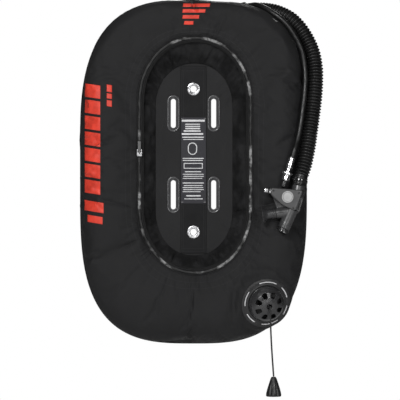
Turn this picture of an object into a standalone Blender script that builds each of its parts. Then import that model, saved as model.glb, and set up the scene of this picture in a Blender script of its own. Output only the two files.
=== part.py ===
"""Buoyancy compensator wing for a backplate: a donut-shaped fabric shell round a bladder, its centre panel,
the corrugated inflator hose with a power inflator, the low-pressure hose and a pull dump valve.

Metres, +Z up when worn, -Y towards the diver's back. The origin is on the panel's rear face,
midway between the two tank-bolt eyelets.
"""

import math

import bmesh
import bpy
import numpy as np
from mathutils import Matrix, Vector

MM = 0.001
GAP = 0.3 * MM

# ---------------------------------------------------------------- driving dimensions
EYELET_PITCH = 279.4 * MM  # 11 inches, the tank-bolt spacing of every backplate
EYELET_BORE = 6.4 * MM
EYELET_FLANGE = 13.8 * MM
BOLT_PATCH = 20 * MM  # radius of the reinforcement let into the rear ply round each eyelet

WING_HALF_WIDTH = 221 * MM
WING_FRONT_DEPTH = 50 * MM
WING_REAR_DEPTH = 50 * MM
ZIP_DEPTH = 36 * MM
CLOTH = 1.6 * MM
SEAM_GAP = 0.5 * MM  # half the gap between the two shells at the outer seam

PLY = 1.5 * MM
PLY_GAP = 0.3 * MM
PANEL_FRONT = 2 * PLY + PLY_GAP  # how far the panel's front face lies in front of its rear face
STRAP_WIDTH = 50 * MM
STRAP_THICK = 1.8 * MM
LABEL_HEIGHT = 168 * MM
LABEL_THICK = 0.6 * MM

SLOT_X = 39.4 * MM
SLOT_Z = (92 * MM, -67 * MM)
SLOT_OUTER = (25 * MM, 72 * MM)
SLOT_LINER = (15 * MM, 64 * MM)
SLOT_OPENING = (9.6 * MM, 58.6 * MM)

HOSE_RADIUS = 14.2 * MM
LP_RADIUS = 5.5 * MM
CORD_RADIUS = 1.6 * MM

INFLATOR_Y = -66.5 * MM  # the parting plane between the inflator's two halves
VALVE_TRAVEL = 6 * MM

# An oval is two superellipse halves joined by straight sides.
# Keys: centre x, half width, top arc's centre z, its height and powers left and right, and the same below.
OUTLINE = {"x": 0, "half": WING_HALF_WIDTH, "top": 0.040, "up": 0.271, "n_up": (3.35, 2.8),
           "low": -0.060, "down": 0.297, "n_down": (3.0, 3.15)}
ZIP_OVAL = {"x": 0.003, "half": 0.108, "top": 0.110, "up": 0.128, "n_up": (2.1, 2.1),
            "low": -0.090, "down": 0.128, "n_down": (2.1, 2.1)}
PANEL_OVAL = {"x": 0.001, "half": 0.0765, "top": 0.104, "up": 0.087, "n_up": (2.1, 2.1),
              "low": -0.098, "down": 0.089, "n_down": (2.1, 2.1)}

ARC_STEPS = 18  # grid steps round each half of an oval
SIDE_STEPS = 3  # and along each straight side
AROUND = 2 * (ARC_STEPS + SIDE_STEPS)

COIL_RADIUS = 2.5 * MM
COIL_RISE = 1.6 * MM  # how far the zip coil's middle stands in front of the shell's edge

CREST = 0.42  # the shell's highest line, as a share of the way from the outer seam to the zip
REAR_CREST = 0.46

# The two ports. Each is a plane on the shell with an axis that points out of it.
VALVE_AXIS = Vector((0.252, -0.934, -0.252)).normalized()
VALVE_CENTRE = Vector((0.1405, -0.0440, -0.2770))
ELBOW_AXIS = Vector((0, 1, 0))
ELBOW_CENTRE = Vector((-0.008, 0.0485, 0.2570))

# Routes of the hoses and the cord, points chosen along their centrelines.
ELBOW_OUT = Vector((0.92, 0, 0.39)).normalized()
ELBOW_RISE = 14 * MM
ELBOW_BEND = 16 * MM
INFLATOR_HOSE_ROUTE = (
    (0.0164, 0.0785, 0.2673), (0.0420, 0.0780, 0.2778), (0.0700, 0.0720, 0.2875), (0.0980, 0.0605, 0.2945),
    (0.1180, 0.0460, 0.2970), (0.1390, 0.0320, 0.2965), (0.1630, 0.0180, 0.2916), (0.1830, 0.0070, 0.2814),
    (0.1970, 0.0000, 0.2696), (0.2100, -0.0055, 0.2543), (0.2235, -0.0120, 0.2310), (0.2323, -0.0180, 0.2080),
    (0.2371, -0.0240, 0.1790), (0.2372, -0.0290, 0.1500), (0.2350, -0.0340, 0.1190), (0.2311, -0.0385, 0.0876),
    (0.2265, -0.0440, 0.0565), (0.2220, -0.0505, 0.0260), (0.2155, -0.0570, -0.0054),
    (0.2085, -0.0620, -0.0310), (0.2040, -0.0645, -0.0500),
)
LP_HOSE_ROUTE = (
    (0.1912, -0.0635, 0.0052), (0.1955, -0.0628, 0.0190), (0.2015, -0.0545, 0.0381), (0.2080, -0.0460, 0.0690),
    (0.2128, -0.0400, 0.1045), (0.2162, -0.0372, 0.1340), (0.2175, -0.0345, 0.1600), (0.2155, -0.0325, 0.1876),
    (0.2103, -0.0315, 0.2130), (0.2000, -0.0310, 0.2365), (0.1847, -0.0295, 0.2605), (0.1690, -0.0270, 0.2765),
    (0.1520, -0.0220, 0.2884), (0.1370, -0.0105, 0.2980), (0.1235, 0.0065, 0.3040), (0.1105, 0.0235, 0.3040),
    (0.0980, 0.0362, 0.3016), (0.0840, 0.0434, 0.2932), (0.0680, 0.0505, 0.2820), (0.0510, 0.0560, 0.2650),
    (0.0370, 0.0585, 0.2440), (0.0265, 0.0595, 0.2180), (0.0200, 0.0600, 0.1900), (0.0175, 0.0600, 0.1640),
)
HOSE_SPACING = 1.3 * 2 * HOSE_RADIUS
LP_SPACING = 2 * 2 * LP_RADIUS
HOSE_STUB = 16 * MM
RETAINER_X = 98 * MM
LP_STUB = 8 * MM
CORD_SPACING = 4 * 2 * CORD_RADIUS


# ---------------------------------------------------------------- scene helpers
def clear_scene():
    for obj in list(bpy.data.objects):
        bpy.data.objects.remove(obj)


def new_collection(name):
    made = bpy.data.collections.new(name)
    bpy.context.scene.collection.children.link(made)
    return made


def material(name, color, roughness, metallic=0.0):
    made = bpy.data.materials.new(name)
    made.use_nodes = True
    shader = made.node_tree.nodes["Principled BSDF"]
    shader.inputs["Base Color"].default_value = (*color, 1)
    shader.inputs["Roughness"].default_value = roughness
    shader.inputs["Metallic"].default_value = metallic
    return made


clear_scene()
PARTS = new_collection("buoyancy_compensator_vest")
CUTTERS = new_collection("cutters")
CUTTERS.hide_render = True

CORDURA = material("cordura", (0.020, 0.020, 0.022), 0.85)
WEBBING = material("webbing", (0.016, 0.016, 0.017), 0.7)
TPU = material("bladder_film", (0.30, 0.30, 0.28), 0.45)
ZIP = material("zip_coil", (0.06, 0.06, 0.06), 0.35)
STEEL = material("stainless", (0.62, 0.62, 0.62), 0.25, 1.0)
CHROME = material("chromed_brass", (0.75, 0.75, 0.76), 0.12, 1.0)
RUBBER = material("rubber", (0.012, 0.012, 0.012), 0.5)
NYLON = material("nylon", (0.025, 0.025, 0.027), 0.45)
GREY_NYLON = material("grey_nylon", (0.12, 0.12, 0.12), 0.5)
LIGHT_DISC = material("light_disc", (0.40, 0.40, 0.40), 0.6)
LABEL = material("label", (0.02, 0.02, 0.022), 0.6)


def place(origin, axis=(0, 0, 1), across=None):
    """A frame at origin with its Z along axis, and its X as near to across as it can be."""
    z = Vector(axis).normalized()
    hint = Vector(across) if across else Vector((1, 0, 0))
    if abs(z.dot(hint.normalized())) > 0.95:
        hint = Vector((0, 0, 1))
    x = (hint - z * hint.dot(z)).normalized()
    y = z.cross(x)
    turn = Matrix((x, y, z)).transposed().to_4x4()
    return Matrix.Translation(Vector(origin)) @ turn


def add_object(name, data, look, where=None, helper=False):
    obj = bpy.data.objects.new(name, data)
    (CUTTERS if helper else PARTS).objects.link(obj)
    if where is not None:
        obj.matrix_world = where
    if helper:
        obj.hide_render = True
        obj.display_type = 'WIRE'
    else:
        data.materials.append(look)
    return obj


def smooth(obj, angle=40):
    obj.data.shade_smooth()
    obj.data.set_sharp_from_angle(angle=math.radians(angle))
    return obj


def loft(name, grid, look, closed_across=False, helper=False):
    """Quads between the rings of a grid [around, across, 3]. Each ring closes on itself."""
    rings, across = grid.shape[:2]
    mesh = bpy.data.meshes.new(name)
    faces = []
    for i in range(rings):
        following = (i + 1) % rings
        for j in range(across if closed_across else across - 1):
            after = (j + 1) % across
            faces.append((i * across + j, following * across + j, following * across + after, i * across + after))
    mesh.from_pydata([tuple(point) for point in grid.reshape(-1, 3)], [], faces)
    if closed_across:
        shape = bmesh.new()
        shape.from_mesh(mesh)
        bmesh.ops.recalc_face_normals(shape, faces=shape.faces)
        shape.to_mesh(mesh)
        shape.free()
    obj = add_object(name, mesh, look, helper=helper)
    return smooth(obj, 60) if not helper else obj


def solidify(obj, thickness):
    """Gives a sheet its thickness, behind its outer face."""
    made = obj.modifiers.new("thickness", 'SOLIDIFY')
    made.thickness = thickness
    made.offset = -1
    made.use_even_offset = False
    return obj


def turned(name, profile, where, look, steps=20, ring=False, helper=False):
    """A body turned about its frame's Z. The (radius, height) profile runs down the outer side."""
    mesh = bpy.data.meshes.new(name)
    points = [(radius, 0, height) for radius, height in profile]
    edges = [(i, i + 1) for i in range(len(points) - 1)]
    if ring:
        edges.append((len(points) - 1, 0))
    mesh.from_pydata(points, edges, [])
    obj = add_object(name, mesh, look, where, helper)
    screw = obj.modifiers.new("turn", 'SCREW')
    screw.steps = steps
    screw.render_steps = steps
    screw.use_merge_vertices = True
    screw.merge_threshold = 0.00001
    return obj


def rod(name, radius, low, high, where, look=None, steps=16, helper=False):
    return turned(name, [(0, high), (radius, high), (radius, low), (0, low)], where, look, steps, helper=helper)


def ring(name, inner, outer, low, high, where, look=None, steps=20, helper=False):
    profile = [(inner, high), (outer, high), (outer, low), (inner, low)]
    return turned(name, profile, where, look, steps, ring=True, helper=helper)


def box(name, size, where, look=None, bevel=0.0, helper=False):
    mesh = bpy.data.meshes.new(name)
    shape = bmesh.new()
    bmesh.ops.create_cube(shape, size=1, matrix=Matrix.Diagonal((*size, 1)))
    shape.to_mesh(mesh)
    shape.free()
    obj = add_object(name, mesh, look, where, helper)
    if bevel:
        rounded = obj.modifiers.new("rounded", 'BEVEL')
        rounded.width = bevel
        rounded.segments = 2
    return obj


def as_mesh(curve):
    """The curve's evaluated shape as a mesh object of the same name, with its caps welded."""
    bpy.context.view_layer.update()
    graph = bpy.context.evaluated_depsgraph_get()
    mesh = bpy.data.meshes.new_from_object(curve.evaluated_get(graph))
    shape = bmesh.new()
    shape.from_mesh(mesh)
    bmesh.ops.remove_doubles(shape, verts=shape.verts, dist=0.00001)
    shape.to_mesh(mesh)
    shape.free()
    name, where, homes, helper = curve.name, curve.matrix_world.copy(), curve.users_collection, curve.hide_render
    bpy.data.objects.remove(curve)
    obj = bpy.data.objects.new(name, mesh)
    for home in homes:
        home.objects.link(obj)
    obj.matrix_world = where
    obj.hide_render = helper
    if helper:
        obj.display_type = 'WIRE'
    return obj


def flat_piece(name, outlines, y_low, y_high, look=None, helper=False):
    """Flat outlines in the XZ plane, holes included, as thick as from y_low to y_high."""
    curve = bpy.data.curves.new(name, 'CURVE')
    curve.dimensions = '2D'
    curve.fill_mode = 'BOTH'
    curve.extrude = (y_high - y_low) / 2
    for outline in outlines:
        spline = curve.splines.new('POLY')
        spline.points.add(len(outline) - 1)
        for point, (x, z) in zip(spline.points, outline):
            point.co = (x, z, 0, 1)
        spline.use_cyclic_u = True
    upright = Matrix.Translation((0, (y_low + y_high) / 2, 0)) @ Matrix.Rotation(math.pi / 2, 4, 'X')
    return as_mesh(add_object(name, curve, look, upright, helper))


def tube(name, points, radius, look=None, sides_level=2, cyclic=False, helper=False):
    curve = bpy.data.curves.new(name, 'CURVE')
    curve.dimensions = '3D'
    curve.bevel_depth = radius
    curve.bevel_resolution = sides_level
    curve.use_fill_caps = not cyclic
    spline = curve.splines.new('POLY')
    spline.points.add(len(points) - 1)
    for point, co in zip(spline.points, points):
        point.co = (*co, 1)
    spline.use_cyclic_u = cyclic
    return add_object(name, curve, look, helper=helper)


def boolean(target, other, operation):
    made = target.modifiers.new(other.name, 'BOOLEAN')
    made.operation = operation
    made.object = other
    return target


def cut(target, *cutters):
    for cutter in cutters:
        boolean(target, cutter, 'DIFFERENCE')
    return target


def join(target, *others):
    for other in others:
        boolean(target, other, 'UNION')
    return target


def body_at(name, position, *pieces):
    """An empty on a joint's axis that carries the body's pieces."""
    holder = bpy.data.objects.new(name, None)
    holder.empty_display_size = 0.02
    PARTS.objects.link(holder)
    holder.location = position
    bpy.context.view_layer.update()
    for piece in pieces:
        piece.parent = holder
        piece.matrix_parent_inverse = holder.matrix_world.inverted()
    return holder


# ---------------------------------------------------------------- curves and ovals
def smooth_route(points, spacing, stub=0.0):
    """Points a spacing apart on the centripetal Catmull-Rom curve through the route's own points.

    A stub sets a short first and last step, so that the end faces square up with what they meet.
    """
    route = [Vector(point) for point in points]
    route = [2 * route[0] - route[1], *route, 2 * route[-1] - route[-2]]
    fine = []
    for a, b, c, d in zip(route, route[1:], route[2:], route[3:]):
        t1 = (b - a).length ** 0.5
        t2 = t1 + (c - b).length ** 0.5
        t3 = t2 + (d - c).length ** 0.5
        for step in range(24):
            t = t1 + (t2 - t1) * step / 24
            ab = a + (b - a) * (t / t1)
            bc = b + (c - b) * ((t - t1) / (t2 - t1))
            cd = c + (d - c) * ((t - t2) / (t3 - t2))
            abc = ab + (bc - ab) * (t / t2)
            bcd = bc + (cd - bc) * ((t - t1) / (t3 - t1))
            fine.append(abc + (bcd - abc) * ((t - t1) / (t2 - t1)))
    fine.append(route[-2])
    lengths = [0]
    for before, after in zip(fine, fine[1:]):
        lengths.append(lengths[-1] + (after - before).length)
    count = max(2, round((lengths[-1] - 2 * stub) / spacing))
    marks = np.linspace(stub, lengths[-1] - stub, count + 1)
    if stub:
        marks = [0, *marks, lengths[-1]]
    return [Vector([np.interp(mark, lengths, [p[axis] for p in fine]) for axis in range(3)]) for mark in marks]


def arc_point(oval, angle, upper):
    half = oval["half"]
    height, middle, powers = (
        (oval["up"], oval["top"], oval["n_up"]) if upper else (oval["down"], oval["low"], oval["n_down"])
    )
    c, s = math.cos(angle), math.sin(angle)
    share = (1 + c) / 2  # 1 at the right, 0 at the left
    power = powers[0] * share + powers[1] * (1 - share)
    reach = (abs(c) ** power + abs(s) ** power) ** (-1 / power)
    return oval["x"] + half * reach * c, middle + height * reach * s


def oval_points(oval):
    """AROUND points, anticlockwise as the diver sees it, from the right end of the top arc."""
    points = [arc_point(oval, math.pi * i / ARC_STEPS, True) for i in range(ARC_STEPS + 1)]
    left = oval["x"] - oval["half"]
    right = oval["x"] + oval["half"]
    fall = oval["top"] - oval["low"]
    points += [(left, oval["top"] - fall * i / SIDE_STEPS) for i in range(1, SIDE_STEPS)]
    points += [arc_point(oval, math.pi * (1 + i / ARC_STEPS), False) for i in range(ARC_STEPS + 1)]
    points += [(right, oval["low"] + fall * i / SIDE_STEPS) for i in range(1, SIDE_STEPS)]
    return np.array(points)


SEAM_LINE = oval_points(OUTLINE)
ZIP_LINE = oval_points(ZIP_OVAL)
PANEL_LINE = oval_points(PANEL_OVAL)


def stadium(x, z, width, height, steps=6):
    """A slot's outline: straight sides and round ends."""
    radius = width / 2
    straight = height / 2 - radius
    points = []
    for i in range(steps + 1):
        angle = math.pi * i / steps
        points.append((x + radius * math.cos(angle), z + straight + radius * math.sin(angle)))
    for i in range(steps + 1):
        angle = math.pi * (1 + i / steps)
        points.append((x + radius * math.cos(angle), z - straight + radius * math.sin(angle)))
    return points


def circle(x, z, radius, steps=20):
    return [
        (x + radius * math.cos(2 * math.pi * i / steps), z + radius * math.sin(2 * math.pi * i / steps))
        for i in range(steps)
    ]


# ---------------------------------------------------------------- the shell's surface
def front_depth(share):
    """How far the front shell stands out at a share of the way from the seam to the zip."""
    if share < CREST:
        return WING_FRONT_DEPTH * math.sqrt(max(0, 1 - ((CREST - share) / CREST) ** 2))
    beyond = (share - CREST) / (1 - CREST)
    return WING_FRONT_DEPTH - (WING_FRONT_DEPTH - ZIP_DEPTH) * beyond**2


def rear_depth(share):
    if share < REAR_CREST:
        return WING_REAR_DEPTH * math.sqrt(max(0, 1 - ((REAR_CREST - share) / REAR_CREST) ** 2))
    beyond = (share - REAR_CREST) / (1 - REAR_CREST)
    return WING_REAR_DEPTH * math.cos(beyond * math.pi / 2) ** 0.8


def flatten(grid, centre, axis, flat, reach):
    """Pulls the cloth onto a port's plane within flat of its axis, fading out at reach."""
    offset = grid - np.array(centre)
    height = offset @ np.array(axis)
    aside = np.linalg.norm(offset - height[..., None] * np.array(axis), axis=-1)
    fade = np.clip((reach - aside) / (reach - flat), 0, 1)
    fade = fade * fade * (3 - 2 * fade)
    return grid - (height * fade)[..., None] * np.array(axis)


def between(outer, inner, shares):
    """Plan points at the given shares of the way from one oval to another."""
    shares = np.array(shares)[None, :, None]
    return outer[:, None, :] * (1 - shares) + inner[:, None, :] * shares


def sheet(plan, depths):
    """Plan points [around, across, 2] with a depth for each step across, as x, y, z."""
    y = np.broadcast_to(np.array(depths)[None, :], plan.shape[:2])
    return np.stack([plan[..., 0], y, plan[..., 1]], axis=-1)


def seam_shares(crest, steps):
    """Shares from the seam to the crest, evenly spaced round the bulge."""
    angles = np.linspace(0, math.pi / 2, steps)
    return list(crest * (1 - np.cos(angles)))


def shift_out(line, distance):
    """An oval moved outwards in its plane by distance."""
    along = np.roll(line, -1, axis=0) - np.roll(line, 1, axis=0)
    along /= np.linalg.norm(along, axis=-1, keepdims=True)
    return line + distance * np.stack([along[:, 1], -along[:, 0]], axis=-1)


# ---------------------------------------------------------------- soft goods
def make_shells():
    """The two faces of the outer shell, and the gusset that falls from the zip to the panel."""
    zip_outer = shift_out(ZIP_LINE, 4 * MM)
    shares = seam_shares(CREST, 5) + [0.70, 1.0]
    front = sheet(between(SEAM_LINE, zip_outer, shares), [-front_depth(share) for share in shares])
    front[:, 0, 1] = -SEAM_GAP
    front[:, 1:] = flatten(front[:, 1:], VALVE_CENTRE, VALVE_AXIS, 44 * MM, 64 * MM)
    shell = solidify(loft("shell_front", front, CORDURA), CLOTH)
    valve_frame = place(VALVE_CENTRE, VALVE_AXIS)
    cut(shell, rod("valve_shell_hole", 24 * MM, -20 * MM, 20 * MM, valve_frame, steps=20, helper=True))

    panel_edge = shift_out(PANEL_LINE, 0.6 * MM)
    shares = seam_shares(REAR_CREST, 5) + [0.70, 0.88, 1.0]
    rear = sheet(between(SEAM_LINE, panel_edge, shares), [rear_depth(share) for share in shares])
    rear[:, 0, 1] = SEAM_GAP
    rear[:, -1, 1] = 1.0 * MM
    rear = flatten(rear, ELBOW_CENTRE, ELBOW_AXIS, 34 * MM, 54 * MM)
    shell = loft("shell_rear", rear[:, ::-1], CORDURA)
    solidify(shell, CLOTH)
    elbow_frame = place(ELBOW_CENTRE, ELBOW_AXIS)
    cut(shell, rod("elbow_shell_hole", 21 * MM, -20 * MM, 20 * MM, elbow_frame, steps=20, helper=True))

    zip_inner = shift_out(ZIP_LINE, -4 * MM)
    shares = [0.0, 0.5, 1.0]
    depths = [-ZIP_DEPTH + 1.5 * MM, -0.56 * ZIP_DEPTH, -1.2 * MM - CLOTH]
    gusset = sheet(between(zip_inner, panel_edge, shares), depths)
    solidify(loft("inner_gusset", gusset, CORDURA), CLOTH)


def make_zip():
    """The service zip round the inner shoulder: its tape under both cloth edges, and its closed coil."""
    tape = np.stack([
        sheet(shift_out(ZIP_LINE, 9 * MM)[:, None], [-ZIP_DEPTH + 0.6 * MM])[:, 0],
        sheet(ZIP_LINE[:, None], [-ZIP_DEPTH + 3.2 * MM])[:, 0],
        sheet(shift_out(ZIP_LINE, -8 * MM)[:, None], [-ZIP_DEPTH + 9.5 * MM])[:, 0],
    ], axis=1)
    solidify(loft("zip_tape", tape, WEBBING), 0.8 * MM)
    coil = [(x, -ZIP_DEPTH - COIL_RISE, z) for x, z in ZIP_LINE]
    tube("zip_coil", coil, COIL_RADIUS, ZIP, sides_level=1, cyclic=True)


def make_seam_binding():
    """The tape that binds the raw edges inside the outer seam."""
    inside = shift_out(SEAM_LINE, -3.6 * MM)
    deeper = shift_out(SEAM_LINE, -4.6 * MM)
    half = 5 * MM
    corners = ((inside, -half), (inside, half), (deeper, half), (deeper, -half))
    grid = np.stack([sheet(line[:, None], [y])[:, 0] for line, y in corners], axis=1)
    loft("seam_binding", grid, WEBBING, closed_across=True)


def make_bladder():
    """The air cell: a closed ring of film with a round hole for each port."""
    sides = 6
    middle, reach = 0.47, 0.33  # shares of the way from the outer seam to the panel
    half_depth = 33 * MM
    grid = np.zeros((AROUND, sides, 3))
    for j in range(sides):
        angle = 2 * math.pi * j / sides
        share = middle + reach * math.cos(angle)
        plan = between(SEAM_LINE, PANEL_LINE, [share])[:, 0]
        grid[:, j, 0] = plan[:, 0]
        grid[:, j, 1] = half_depth * math.sin(angle)
        grid[:, j, 2] = plan[:, 1]
    bladder = loft("bladder", grid, TPU, closed_across=True)
    solidify(bladder, 0.8 * MM)
    for name, centre, axis in (("valve", VALVE_CENTRE, VALVE_AXIS), ("elbow", ELBOW_CENTRE, ELBOW_AXIS)):
        frame = place(centre, axis)
        cut(bladder, rod(f"{name}_bladder_hole", 21.5 * MM, -34 * MM, 10 * MM, frame, steps=20, helper=True))


def make_panel():
    """The centre panel's two plies, its bolt patches, and the strap and label sewn down its middle."""
    outline = [tuple(point) for point in PANEL_LINE]
    liners = [
        stadium(side * SLOT_X, z, SLOT_LINER[0] + 2 * GAP, SLOT_LINER[1] + 2 * GAP)
        for z in SLOT_Z
        for side in (-1, 1)
    ]
    bolts = [circle(0, side * EYELET_PITCH / 2, EYELET_BORE + 1.2 * MM + GAP, 16) for side in (-1, 1)]
    windows = [circle(0, side * EYELET_PITCH / 2, BOLT_PATCH + GAP, 24) for side in (-1, 1)]
    flat_piece("panel_rear", [outline, *liners, *windows], -PLY, 0, CORDURA)
    for side, row, hole in ((-1, "lower", bolts[0]), (1, "upper", bolts[1])):
        rim = circle(0, side * EYELET_PITCH / 2, BOLT_PATCH, 24)
        flat_piece(f"bolt_patch_{row}", [rim, hole], -PLY, 0, WEBBING)
    flat_piece("panel_front", [outline, *liners, *bolts], -PANEL_FRONT, -PLY - PLY_GAP, CORDURA)

    half = STRAP_WIDTH / 2
    low, high = -0.1810, 0.1840
    strap_front = -PANEL_FRONT - GAP - STRAP_THICK
    strap = [(-half, low), (half, low), (half, high), (-half, high)]
    flat_piece("centre_strap", [strap, *bolts], strap_front, -PANEL_FRONT - GAP, WEBBING)

    half, reach = STRAP_WIDTH / 2 - 0.5 * MM, LABEL_HEIGHT / 2
    label = [(-half, -reach), (half, -reach), (half, reach), (-half, reach)]
    flat_piece("label_patch", [label], strap_front - GAP - LABEL_THICK, strap_front - GAP, LABEL)
    return strap_front


def make_slots():
    """Four moulded frames that line the slots for the tank bands."""
    front = -PANEL_FRONT - GAP
    for z, row in zip(SLOT_Z, ("upper", "lower")):
        for side, hand in ((-1, "right"), (1, "left")):
            name = f"band_slot_{row}_{hand}"
            x = side * SLOT_X
            outer = stadium(x, z, *SLOT_OUTER)
            opening = stadium(x, z, *SLOT_OPENING)
            frame = flat_piece(name, [outer, opening], front - 2.2 * MM, front, NYLON)
            liner = flat_piece(f"{name}_liner", [stadium(x, z, *SLOT_LINER), opening],
                               front - 1.0 * MM, -0.3 * MM, helper=True)
            join(frame, liner)


def make_eyelets(strap_front):
    """Two rolled eyelets for the tank bolts, each with its washer on the rear face."""
    for side, row in ((1, "upper"), (-1, "lower")):
        frame = place((0, 0, side * EYELET_PITCH / 2), (0, -1, 0))
        front = -strap_front
        wall = EYELET_BORE + 1.2 * MM
        profile = [
            (EYELET_BORE, front + 1.0 * MM), (EYELET_BORE + 1.4 * MM, front + 2.6 * MM),
            (EYELET_FLANGE - 2 * MM, front + 2.6 * MM), (EYELET_FLANGE, front + GAP), (wall, front + GAP),
            (wall, -1.4 * MM), (EYELET_BORE, -1.4 * MM),
        ]
        turned(f"eyelet_{row}", profile, frame, STEEL, 20, ring=True)
        ring(f"eyelet_washer_{row}", wall + GAP, EYELET_FLANGE - 1 * MM, -1.1 * MM, -GAP, frame, STEEL)


def crossing(points, frame):
    """Where a route passes through a frame's XY plane, nearest the frame's origin, in the frame's own x and y."""
    back = frame.inverted()
    local = [back @ point for point in points]
    nearest = min(local, key=lambda point: point.length_squared)
    index = local.index(nearest)
    nearby = local[max(0, index - 12):index + 12]
    middle = min(nearby, key=lambda point: abs(point.z))
    return middle.x, middle.y


def make_retainer():
    """The webbing loop, sewn to the shell's rear edge, that holds both hoses at the top of the wing."""
    width, wall, spare = 14 * MM, 1.2 * MM, 2.7 * MM
    hose = smooth_route(INFLATOR_HOSE_ROUTE, 1.5 * MM)
    lp = smooth_route(LP_HOSE_ROUTE, 1.5 * MM)
    index = min(range(len(hose)), key=lambda i: abs(hose[i].x - RETAINER_X))
    frame = place(hose[index], hose[index + 1] - hose[index - 1], (0, 1, 0))
    nearest = crossing(lp, frame)
    distance = math.hypot(*nearest)
    direction = math.atan2(nearest[1], nearest[0])
    corners = []
    for extra, half in ((spare, -width / 2), (spare, width / 2), (spare + wall, width / 2), (spare + wall, -width / 2)):
        hose_reach, lp_reach = HOSE_RADIUS + extra, LP_RADIUS + extra
        spread = math.acos((hose_reach - lp_reach) / distance)
        line = []
        for i in range(13):
            angle = direction + spread + (2 * math.pi - 2 * spread) * i / 12
            line.append(frame @ Vector((hose_reach * math.cos(angle), hose_reach * math.sin(angle), half)))
        for i in range(7):
            angle = direction - spread + 2 * spread * i / 6
            x = nearest[0] + lp_reach * math.cos(angle)
            y = nearest[1] + lp_reach * math.sin(angle)
            line.append(frame @ Vector((x, y, half)))
        corners.append(line)
    loft("hose_retainer", np.array(corners).transpose(1, 0, 2), WEBBING, closed_across=True)


# ---------------------------------------------------------------- dump valve
def make_dump_valve():
    """The pull dump at the wing's low corner. Heights are along its own axis from the cloth's outer face."""
    frame = place(VALVE_CENTRE, VALVE_AXIS)
    turned("valve_port", [
        (16.2 * MM, 1.5 * MM), (19.5 * MM, 1.5 * MM), (19.5 * MM, -2.4 * MM), (22.5 * MM, -2.5 * MM),
        (22.5 * MM, -4.1 * MM), (19.5 * MM, -4.4 * MM), (19.5 * MM, -17 * MM), (16.2 * MM, -17 * MM),
    ], frame, NYLON, 24, ring=True)
    turned("valve_patch", [
        (23 * MM, 1.8 * MM), (44 * MM, 1.8 * MM), (49 * MM, 1.1 * MM), (49 * MM, 0.1 * MM), (44 * MM, 0.8 * MM),
        (23 * MM, 0.8 * MM),
    ], frame, RUBBER, 28, ring=True)
    turned("valve_body", [
        (13.5 * MM, 5.0 * MM), (33 * MM, 5.0 * MM), (35 * MM, 3.6 * MM), (35 * MM, 2.0 * MM), (15.8 * MM, 2.0 * MM),
        (15.8 * MM, -14 * MM), (10 * MM, -14 * MM), (10 * MM, -11.5 * MM), (13.5 * MM, -11.5 * MM),
    ], frame, NYLON, 24, ring=True)
    cap = turned("valve_cap", [
        (5 * MM, 26.5 * MM), (9 * MM, 27.2 * MM), (18 * MM, 25.6 * MM), (27 * MM, 21.2 * MM), (32.5 * MM, 14.5 * MM),
        (35 * MM, 5.4 * MM), (32.6 * MM, 5.4 * MM), (30.2 * MM, 13.4 * MM), (25.2 * MM, 19.2 * MM),
        (17 * MM, 23.2 * MM), (11 * MM, 24.4 * MM), (11 * MM, 15 * MM), (9.6 * MM, 15 * MM), (9.6 * MM, 24.4 * MM),
        (5 * MM, 24.4 * MM),
    ], frame, NYLON, 20, ring=True)
    cut(cap, valve_windows(frame))

    seal = ring("valve_seal", 3.2 * MM, 12.6 * MM, -11.2 * MM, -9.6 * MM, frame, RUBBER)
    poppet = turned("valve_poppet", [
        (0, 28.8 * MM), (2.2 * MM, 28.8 * MM), (2.2 * MM, -7.2 * MM), (12.4 * MM, -7.2 * MM),
        (12.4 * MM, -9.3 * MM), (2.9 * MM, -9.3 * MM), (2.9 * MM, -11.8 * MM), (0, -11.8 * MM),
    ], frame, NYLON, 20)
    spring("valve_spring", 7.0 * MM, 0.8 * MM, -5.8 * MM, 22.8 * MM, 4, frame)
    body_at("valve_slide_axis", VALVE_CENTRE, seal, poppet)


def valve_windows(frame):
    """Eight wedge-shaped cutters for the cap's flow windows."""
    mesh = bpy.data.meshes.new("valve_windows")
    shape = bmesh.new()
    for i in range(8):
        turn = Matrix.Rotation(2 * math.pi * (i + 0.5) / 8, 4, 'Z')
        made = bmesh.ops.create_cube(shape, size=1)
        for vert in made["verts"]:
            outer = vert.co.x > 0
            radius = 28.5 * MM if outer else 14.5 * MM
            half = 8.0 * MM if outer else 3.2 * MM
            height = 40 * MM if vert.co.z > 0 else 8 * MM
            vert.co = turn @ Vector((radius, math.copysign(half, vert.co.y), height))
    shape.to_mesh(mesh)
    shape.free()
    return add_object("valve_windows", mesh, None, frame, helper=True)


def spring(name, radius, wire, low, high, turns, frame, look=None):
    """A coil spring between two heights of a frame."""
    steps = 8 * turns
    points = []
    for i in range(steps + 1):
        angle = 2 * math.pi * turns * i / steps
        height = low + wire + (high - low - 2 * wire) * i / steps
        points.append(frame @ Vector((radius * math.cos(angle), radius * math.sin(angle), height)))
    return tube(name, points, wire, look or STEEL, sides_level=1)


def make_pull_cord():
    """The cord and its ribbed knob, hanging from the end of the poppet's stem."""
    frame = place(VALVE_CENTRE, VALVE_AXIS)
    pivot = frame @ Vector((0, 0, 31.5 * MM))
    knob_top = Vector((pivot.x + 6.4 * MM, pivot.y, -0.4180))
    drop = knob_top - pivot
    route = [pivot + Vector((0, 0, -0.2 * MM)), pivot + drop * 0.33 + Vector((-1.2 * MM, 0, 0)),
             pivot + drop * 0.66 + Vector((-1.0 * MM, 0, 0)), knob_top + Vector((0, 0, GAP))]
    cord = tube("pull_cord", smooth_route(route, CORD_SPACING), CORD_RADIUS, NYLON)
    profile = [
        (0, 0), (4.5 * MM, 0), (7 * MM, -3 * MM), (9 * MM, -12 * MM), (13.5 * MM, -28 * MM), (15 * MM, -36 * MM),
        (14 * MM, -39 * MM), (0, -39 * MM),
    ]
    knob = turned("pull_knob", profile, place(knob_top), RUBBER, 20)
    body_at("cord_swing_axis", pivot, cord, knob)
    return pivot


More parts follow.
